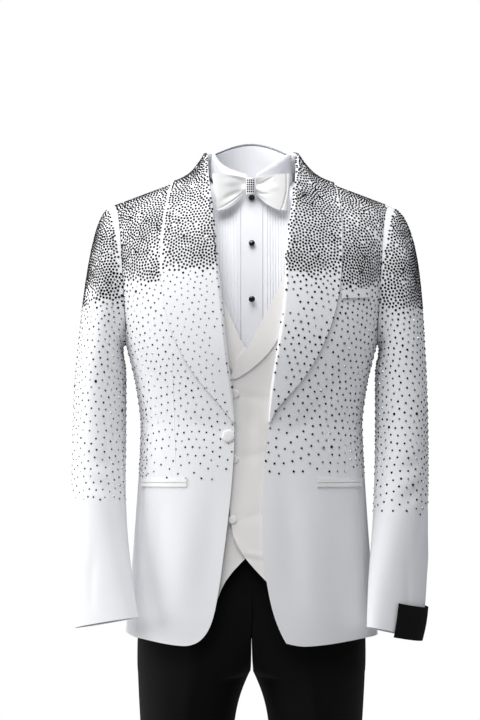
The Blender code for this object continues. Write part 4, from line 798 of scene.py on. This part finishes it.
# %% Front darts
DART_TOP, DART_END = (0.1222, -0.240), (0.1161, -0.438)  # x on the wearer's left, and height
DART_RADIUS, DART_POINTS = 0.65 * MM, 48
DART_SUNK = 0.35  # how deep the tube's middle lies under the cloth, as a share of its radius
DART_TIP, DART_SWELL = 0.2, 6  # its share of the radius at the ends, and how fast it grows from there
IN_FRONT = -0.4  # y of a plane before the suit, from which points are dropped on it
dart_lines = {}
for side, sign in SIDES:
    front = tree_of(made[f"jacket_front_{side}"])
    line = []
    for k in range(DART_POINTS + 1):
        share = k / DART_POINTS
        x, z = (a + (b - a) * share for a, b in zip(DART_TOP, DART_END))
        hit, normal, _, _ = front.ray_cast(Vector((sign * x, IN_FRONT, z)), Vector((0, 1, 0)))
        line.append(hit - normal * DART_SUNK * DART_RADIUS)
    bpy.ops.curve.primitive_nurbs_path_add()
    dart = bpy.context.object
    dart.name = f"dart_{side}"
    dart.data.splines.clear()
    spline = dart.data.splines.new("POLY")
    spline.points.add(DART_POINTS)
    for k, (point, place) in enumerate(zip(spline.points, line)):
        point.co = (*place, 1.0)
        point.radius = min(1.0, DART_TIP + DART_SWELL * min(k, DART_POINTS - k) / DART_POINTS)
    dart.data.bevel_depth = DART_RADIUS
    dart.data.bevel_resolution = 2
    dart.data.use_fill_caps = True
    only(dart)
    bpy.ops.object.convert(target="MESH")
    lay_uv(dart, TORSO)
    dart.data.materials.clear()
    dart.data.materials.append(WOVEN["white_wool"])
    bpy.ops.object.shade_smooth()
    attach(dart, "root")
    dart_lines[f"jacket_front_{side}"] = line
print("darts", len(dart_lines), "length", round((line[0] - line[-1]).length, 3))


# %% [markdown]
# ## Closed seams
# Two pieces that are sewn together meet in a fine groove, and no light shows through it. The solids
# stand a little apart there, so the inner edges of each pair are brought together. The outer edges stay
# where they are, and the groove between them is the seam that the eye sees.

# %% Seams
SEAM_REACH, SEAM_SHARE = 0.9 * MM, 0.6
OUTWARD = 0.3  # points whose normals lean outwards more than this are on the outer face and stay
SEAMS = [("trousers_front_right", "trousers_front_left", LEG["right"]),
         ("trousers_back_right", "trousers_back_left", LEG["right"]),
         ("jacket_back_right", "jacket_back_left", TORSO),
         ("shawl_right", "shawl_left", TORSO)]
for side, _ in SIDES:
    SEAMS += [
        (f"trousers_front_{side}", f"trousers_back_{side}", LEG[side]),
        (f"jacket_front_{side}", f"jacket_side_{side}", TORSO),
        (f"jacket_side_{side}", f"jacket_back_{side}", TORSO),
        (f"upper_sleeve_{side}", f"under_sleeve_{side}", ARM[side]),
    ]


def close_seam(first, second, wrap):
    """Moves the inner edges of two pieces a little over half way to each other."""
    pieces = [made[first], made[second]]
    trees = [tree_of(piece) for piece in reversed(pieces)]
    moved = 0
    for piece, tree in zip(pieces, trees):
        points = points_of(piece)
        _, _, out = wrap.read(points)
        for k, vertex in enumerate(piece.data.vertices):
            if vertex.normal.dot(Vector(out[k])) > OUTWARD:
                continue
            place, _, _, _ = tree.find_nearest(vertex.co, SEAM_REACH)
            if place:
                points[k] += (np.array(place) - points[k]) * SEAM_SHARE
                moved += 1
        set_points(piece, points)
    return moved


print("points moved to close seams", sum(close_seam(*seam) for seam in SEAMS))


# %% [markdown]
# ## Buttons and studs
# The jacket and waistcoat buttons are domes covered with the suit's own satin, and the shirt's studs
# are polished black. Each starts as a short cylinder. Its face is raised and drawn in by steps, then all
# of it is rounded with a subdivision surface and set square to the cloth it sits on.

# %% Domes
DOME_SIDES = 24
DISC_SHARE = 0.2  # the cylinder's height, as a share of the dome's
FACE_UP = 0.9
# Stove enamel, dipped and polished: black, with one small sharp light on each stud.
enamel, _, _ = new_material("polished_black_enamel", "#050506", 0.12, Coat_Weight=0.6)


def dome(node, material, profile):
    """A turned dome in the place of a node: profile rows are (inset, rise) as shares of its size."""
    points = np.array([vertex.co for vertex in nodes[node].data.vertices])
    centre = points.mean(axis=0)
    _, _, axes = np.linalg.svd(points - centre)
    normal = Vector(axes[2])
    if normal.dot(Vector((0.0, -1.0, 0.0))) < 0:
        normal.negate()
    depths = (points - centre) @ np.array(normal)
    radius = np.abs((points - centre) @ axes[0]).max()
    tall = depths.max() - depths.min()
    back = Vector(centre) + normal * depths.min()
    bpy.ops.mesh.primitive_cylinder_add(
        vertices=DOME_SIDES, radius=radius * profile[0][0], depth=tall * DISC_SHARE
    )
    piece = bpy.context.object
    piece.name = f"{node}_dome"
    edit(piece, "FACE", "DESELECT")
    done()
    for face in piece.data.polygons:
        face.select = face.normal.z > FACE_UP
    bpy.ops.object.mode_set(mode="EDIT")
    bpy.ops.transform.translate(value=(0, 0, tall * (profile[0][1] - DISC_SHARE / 2)))
    for (share, rise), (next_share, next_rise) in zip(profile, profile[1:]):
        bpy.ops.mesh.extrude_region_move(
            TRANSFORM_OT_translate={"value": (0, 0, tall * (next_rise - rise))}
        )
        scale = next_share / share
        bpy.ops.transform.resize(value=(scale, scale, 1.0))
    done()
    modifier = piece.modifiers.new("round", "SUBSURF")
    modifier.levels = modifier.render_levels = 1
    only(piece)
    bpy.ops.object.modifier_apply(modifier=modifier.name)
    turn = Vector((0, 0, 1)).rotation_difference(normal).to_matrix().to_4x4()
    piece.data.transform(Matrix.Translation(back + normal * tall * (DISC_SHARE / 2)) @ turn)
    piece.data.materials.append(material)
    bpy.ops.object.shade_smooth()
    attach(piece, "root")
    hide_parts(node)
    return piece


COVERED = [(0.94, 0.08), (1.0, 0.18), (0.97, 0.30), (0.82, 0.42), (0.45, 0.50)]
POLISHED = [(0.92, 0.10), (1.0, 0.30), (0.94, 0.60), (0.70, 0.88), (0.30, 1.0)]
LEVELS = ("upper", "middle", "lower")
buttons = {"jacket_button": "white_satin"}
buttons.update({f"waistcoat_button_{level}": "ivory_satin" for level in LEVELS})
for node, slot in buttons.items():
    button = dome(node, WOVEN[slot], COVERED)
    lay_uv(button, TORSO)
studs = [dome(f"shirt_stud_{level}", enamel, POLISHED) for level in LEVELS]
print("buttons", len(buttons), "studs", len(studs))


# %% [markdown]
# ## Stones
# The jacket is set with thousands of flat-backed faceted stones, glued to the cloth: close together
# on the shoulders, then thinner and thinner to the waist and the elbows, and none below. Most are jet,
# some are clear. Stones set by hand are even but not in rows. To get that, points are dropped on the
# cloth at random and then settled: each pushes its near neighbours away for a few rounds and is put
# back on the cloth, until all have the same room. Each stone is one small six-sided crown with few
# faces, and all the stones of one panel are joined in one mesh.

# %% Stone materials
# Jet glass is pressed and fire-polished: nearly black, with a small sharp glint on one facet.
jet, _, _ = new_material("pressed_jet_glass", "#040405", 0.30, Specular_IOR_Level=0.22)
# Clear glass has a foil back, so it mirrors the room in a soft silver grey.
clear, _, _ = new_material("foiled_clear_glass", "#9BA0AA", 0.20, Metallic=0.8)

# %% Where the stones are
COARSE, FINE = (28.0, 0.008), (75.0, 0.009)  # how often and how high the stones' limits wave
THIN_FIRST = 0.012  # metres of height in which the close spacing opens to the sparse one
FACING = 0.35  # triangles that face outwards more than this are the outer face
RIM_COSINE = 0.6  # faces that meet more sharply than this make a rim
DENSE_MM, SPARSE_TOP_MM, SPARSE_END_MM = 5.05, 11.3, 12.8
EDGE_MARGIN_MM, HEAD_STRIP_MM, LAPEL_STRIP_MM = 2.3, (3.6, 12.5), {"right": 5.2, "left": 3.4}
HEAD_LOW, HEAD_HIGH = -0.141, -0.028  # the bare strip at the sleeve's head widens between these


def ragged(point):
    """A point's height, made uneven, so that the stones thin out along no straight line."""
    coarse = noise.noise(point * COARSE[0]) * COARSE[1]
    fine = noise.noise(point * FINE[0]) * FINE[1]
    return point.z + coarse + fine


def spacing_at(point, dense_end, sparse_end):
    """The distance between stones at a point, or None below the last of them."""
    z = ragged(point)
    if z < sparse_end:
        return None
    if z > dense_end:
        return DENSE_MM * MM
    share = (dense_end - z) / (dense_end - sparse_end)
    first = min(1.0, (dense_end - z) / THIN_FIRST)
    return (DENSE_MM + (SPARSE_TOP_MM - DENSE_MM) * first
            + (SPARSE_END_MM - SPARSE_TOP_MM) * share) * MM


def outer_face(piece, wrap):
    """The triangles of a piece's outer face, their areas, and a tree to put points back on them."""
    mesh = piece.data
    mesh.calc_loop_triangles()
    corners = np.array([t.vertices[:] for t in mesh.loop_triangles])
    points = points_of(piece)
    a, b, c = (points[corners[:, k]] for k in range(3))
    normals = np.cross(b - a, c - a)
    areas = np.linalg.norm(normals, axis=1) / 2
    normals /= np.maximum(areas[:, None] * 2, 1e-12)
    _, _, out = wrap.read((a + b + c) / 3)
    facing = (normals * out).sum(axis=1) > FACING
    tree = BVHTree.FromPolygons([tuple(p) for p in points], [tuple(t) for t in corners[facing]])
    return a[facing], b[facing], c[facing], areas[facing], tree


def rim_points(piece):
    """The points along the hard edges of a piece."""
    mesh = piece.data
    faces = {}
    for polygon in mesh.polygons:
        for key in polygon.edge_keys:
            faces.setdefault(key, []).append(polygon.normal)
    rim = {v for key, found in faces.items() for v in key
           if len(found) == 2 and found[0].dot(found[1]) < RIM_COSINE}
    return [mesh.vertices[v].co.copy() for v in sorted(rim)]


def finder_of(points):
    """A tree that finds the nearest of some points."""
    tree = kdtree.KDTree(max(len(points), 1))
    for k, point in enumerate(points):
        tree.insert(point, k)
    tree.balance()
    return tree


HEAD_FROM, HEAD_NEAR = -0.17, 0.006  # the sleeve's head is above this height and this near the body
LAPEL_STRIP_FROM = -0.135
COVER_START, COVER_REACH = 0.001, 0.014  # a lapel within this reach of the cloth covers the place


def stone_rule(node, piece, covers):
    """A test that says whether a stone may sit at a point: clear of edges, strips and what covers it."""
    side = "right" if node.endswith("right") else "left"
    points = rim_points(piece)
    rim = finder_of(points + dart_lines.get(node, []))
    head = None
    if "sleeve" in node:
        body = [tree_of(made[f"jacket_{part}_{side}"]) for part in ("front", "side", "back")]
        near = [p for p in points if p.z > HEAD_FROM
                and min(tree.find_nearest(p)[3] for tree in body) < HEAD_NEAR]
        head = finder_of(near) if near else None

    def allowed(point, normal):
        edge, _, gap = rim.find(point)
        margin = EDGE_MARGIN_MM
        if node.startswith("shawl") and abs(edge.x) > abs(point.x) and point.z > LAPEL_STRIP_FROM:
            margin = LAPEL_STRIP_MM[side]
        if gap < margin * MM:
            return False
        if head:
            rise = min(max((point.z - HEAD_LOW) / (HEAD_HIGH - HEAD_LOW), 0.0), 1.0)
            strip = HEAD_STRIP_MM[0] + (HEAD_STRIP_MM[1] - HEAD_STRIP_MM[0]) * rise
            if head.find(point)[2] < strip * MM:
                return False
        start = point + normal * COVER_START
        return not any(cover.ray_cast(start, normal, COVER_REACH)[0] for cover in covers)

    return allowed


ROOM = 0.90  # each stone's room, in squares of its spacing
NEIGHBOURS, PUSH_REACH = 7, 1.12  # itself and six more, which push while nearer than 1.12 spacings
PACES = (0.42, 0.25)  # the share of a push that is followed, first and in the last third
LEAST_GAP = 0.62  # of the close spacing; what still stands nearer is taken off


def scatter(node, piece, wrap, dense_end, sparse_end, covers, seed, rounds=16):
    """Settled places for stones on one piece, as (point, normal)."""
    a, b, c, areas, tree = outer_face(piece, wrap)
    allowed = stone_rule(node, piece, covers)
    rng = random.Random(seed)
    centres = [Vector(p) for p in (a + b + c) / 3]
    gaps = [spacing_at(p, dense_end, sparse_end) for p in centres]
    weights = np.array([area / gap**2 if gap else 0.0 for area, gap in zip(areas, gaps)])
    wanted = int(weights.sum() / ROOM)
    picks = np.searchsorted(np.cumsum(weights) / weights.sum(), [rng.random() for _ in range(wanted)])
    points, normals = [], []
    for k in picks:
        u, v = rng.random(), rng.random()
        if u + v > 1:
            u, v = 1 - u, 1 - v
        k = min(int(k), len(a) - 1)
        point, normal, _, _ = tree.find_nearest(Vector(a[k] + (b[k] - a[k]) * u + (c[k] - a[k]) * v))
        if spacing_at(point, dense_end, sparse_end) and allowed(point, normal):
            points.append(point)
            normals.append(normal)
    for number in range(rounds):
        finder = finder_of(points)
        pace = PACES[0] if number < rounds * 2 // 3 else PACES[1]
        moved = []
        for point, normal in zip(points, normals):
            gap = spacing_at(point, dense_end, sparse_end) or SPARSE_END_MM * MM
            push = Vector((0.0, 0.0, 0.0))
            for other, _, distance in finder.find_n(point, NEIGHBOURS):
                if 1e-7 < distance < gap * PUSH_REACH:
                    push += (point - other) * ((gap * PUSH_REACH - distance) / distance)
            place, facing, _, _ = tree.find_nearest(point + push * pace)
            fine = spacing_at(place, dense_end, sparse_end) and allowed(place, facing)
            moved.append((place, facing) if fine else (point, normal))
        points = [place for place, _ in moved]
        normals = [facing for _, facing in moved]
    kept, finder = [], finder_of(points)
    for k, point in enumerate(points):
        crowd = [n for _, n, gap in finder.find_range(point, LEAST_GAP * DENSE_MM * MM) if n < k]
        if not crowd:
            kept.append((point, normals[k]))
    return kept


# %% One stone, many times
FACETS = 6
GIRDLE, TABLE = (1.0, -0.05), (0.60, 0.55)  # radius and height, as shares of the stone's radius
STONE_TILT = 0.10


def stone_mesh():
    """A unit stone, flat at the back: a six-sided girdle, a smaller table and a base."""
    points = [
        (share * math.cos(math.tau * k / FACETS), share * math.sin(math.tau * k / FACETS), rise)
        for share, rise in (GIRDLE, TABLE)
        for k in range(FACETS)
    ]
    ring = range(FACETS)
    faces = [(k, (k + 1) % FACETS, FACETS + (k + 1) % FACETS, FACETS + k) for k in ring]
    faces += [tuple(FACETS + k for k in ring), tuple(reversed(ring))]
    return np.array(points), faces


STONE_POINTS, STONE_FACES = stone_mesh()


def set_stones(name, places, material, rng):
    """All the stones of a panel as one mesh."""
    points, faces = [], []
    for point, normal, radius in places:
        lean = [rng.uniform(-STONE_TILT, STONE_TILT) for _ in range(2)]
        tilt = Vector((*lean, 1.0))
        turn = normal.to_track_quat("Z", "Y").to_matrix() @ Matrix.Rotation(
            rng.random() * math.tau, 3, "Z"
        )
        turn = turn @ Vector((0, 0, 1)).rotation_difference(tilt).to_matrix()
        at = np.array(turn) @ (STONE_POINTS * radius).T
        first = len(points)
        points.extend((at.T + np.array(point)).tolist())
        faces.extend([tuple(first + k for k in face) for face in STONE_FACES])
    mesh = bpy.data.meshes.new(name)
    mesh.from_pydata(points, [], faces)
    mesh.materials.append(material)
    piece = bpy.data.objects.new(name, mesh)
    bpy.context.scene.collection.objects.link(piece)
    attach(piece, "root")


# %% Stones on every panel
CLOSE = ((1.98, 2.22), 0.03)  # the close stones' radius in millimetres and the share of clear ones
BELOW = {  # the same for those below them; the first name that a panel's name holds is taken
    "shawl_right": ((1.30, 1.60), 0.70),
    "back": ((1.55, 1.90), 0.35),
    "right": ((1.45, 1.80), 0.40),
    "left": ((1.75, 2.10), 0.30),
}
LARGE_MM, LARGE_SHARE = (2.5, 2.8), 0.02  # a few are larger everywhere
CLOSE_FADE = 0.008
BODY_END, SLEEVE_END = -0.448, -0.480  # the height of the last stones
DENSE_ENDS = {"jacket": -0.144, "sleeve": -0.176, "shawl": -0.124, "welt": -0.154}
LOWER = {"right": 0.0, "left": 0.010}  # how much farther down they reach on each side
STONE_SEED, PLACE_SEED = 100, 300
collar = [tree_of(made["shawl_right"]), tree_of(made["shawl_left"])]
PANELS = []  # node, wrap, dense end, sparse end, what covers it
for side, low in LOWER.items():
    for part in ("front", "side", "back"):
        PANELS.append((f"jacket_{part}_{side}", TORSO, DENSE_ENDS["jacket"] - low, BODY_END, collar))
    for part in ("upper", "under"):
        ends = (DENSE_ENDS["sleeve"] - low, SLEEVE_END - 2 * low)
        PANELS.append((f"{part}_sleeve_{side}", ARM[side], *ends, []))
    PANELS.append((f"shawl_{side}", TORSO, DENSE_ENDS["shawl"] - low, BODY_END, []))
PANELS.append(("breast_welt", TORSO, DENSE_ENDS["welt"], BODY_END, []))
counts = {}
for number, (node, wrap, dense_end, sparse_end, covers) in enumerate(PANELS):
    rng = random.Random(STONE_SEED + number)
    places = scatter(node, made[node], wrap, dense_end, sparse_end, covers, PLACE_SEED + number)
    dark, bright = [], []
    below = next((rule for part, rule in BELOW.items() if part in node), BELOW["left"])
    for point, normal in places:
        range_mm, share = CLOSE if ragged(point) > dense_end - CLOSE_FADE else below
        if rng.random() < LARGE_SHARE:
            range_mm = LARGE_MM
        radius = rng.uniform(*range_mm) * MM
        (bright if rng.random() < share else dark).append((point, normal, radius))
    if dark:
        set_stones(f"jet_stones_{node}", dark, jet, rng)
    if bright:
        set_stones(f"clear_stones_{node}", bright, clear, rng)
    counts[node] = len(places)
print("stones", sum(counts.values()), counts)


# %% [markdown]
# ## Stones on the bow's knot
# The knot carries a small straight grid of jet stones, four across and six down.

# %% Knot stones
KNOT_COLUMNS, KNOT_ROWS = 4, 6
KNOT_STEP_MM = (3.1, 3.5)  # between stones, across and down
KNOT_STONE = 1.35 * MM
KNOT_DROP = 0.02  # how far in front of the knot the points are dropped from
knot_tree = tree_of(knot)
low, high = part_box("bow_knot")
rng = random.Random(9)
places = []
for row in range(KNOT_ROWS):
    for column in range(KNOT_COLUMNS):
        x = (low.x + high.x) / 2 + (column - (KNOT_COLUMNS - 1) / 2) * KNOT_STEP_MM[0] * MM
        z = (low.z + high.z) / 2 + (row - (KNOT_ROWS - 1) / 2) * KNOT_STEP_MM[1] * MM
        hit, normal, _, _ = knot_tree.ray_cast(Vector((x, low.y - KNOT_DROP, z)), Vector((0, 1, 0)))
        if hit:
            places.append((hit, normal, KNOT_STONE))
set_stones("jet_stones_knot", places, jet, rng)
print("knot stones", len(places))
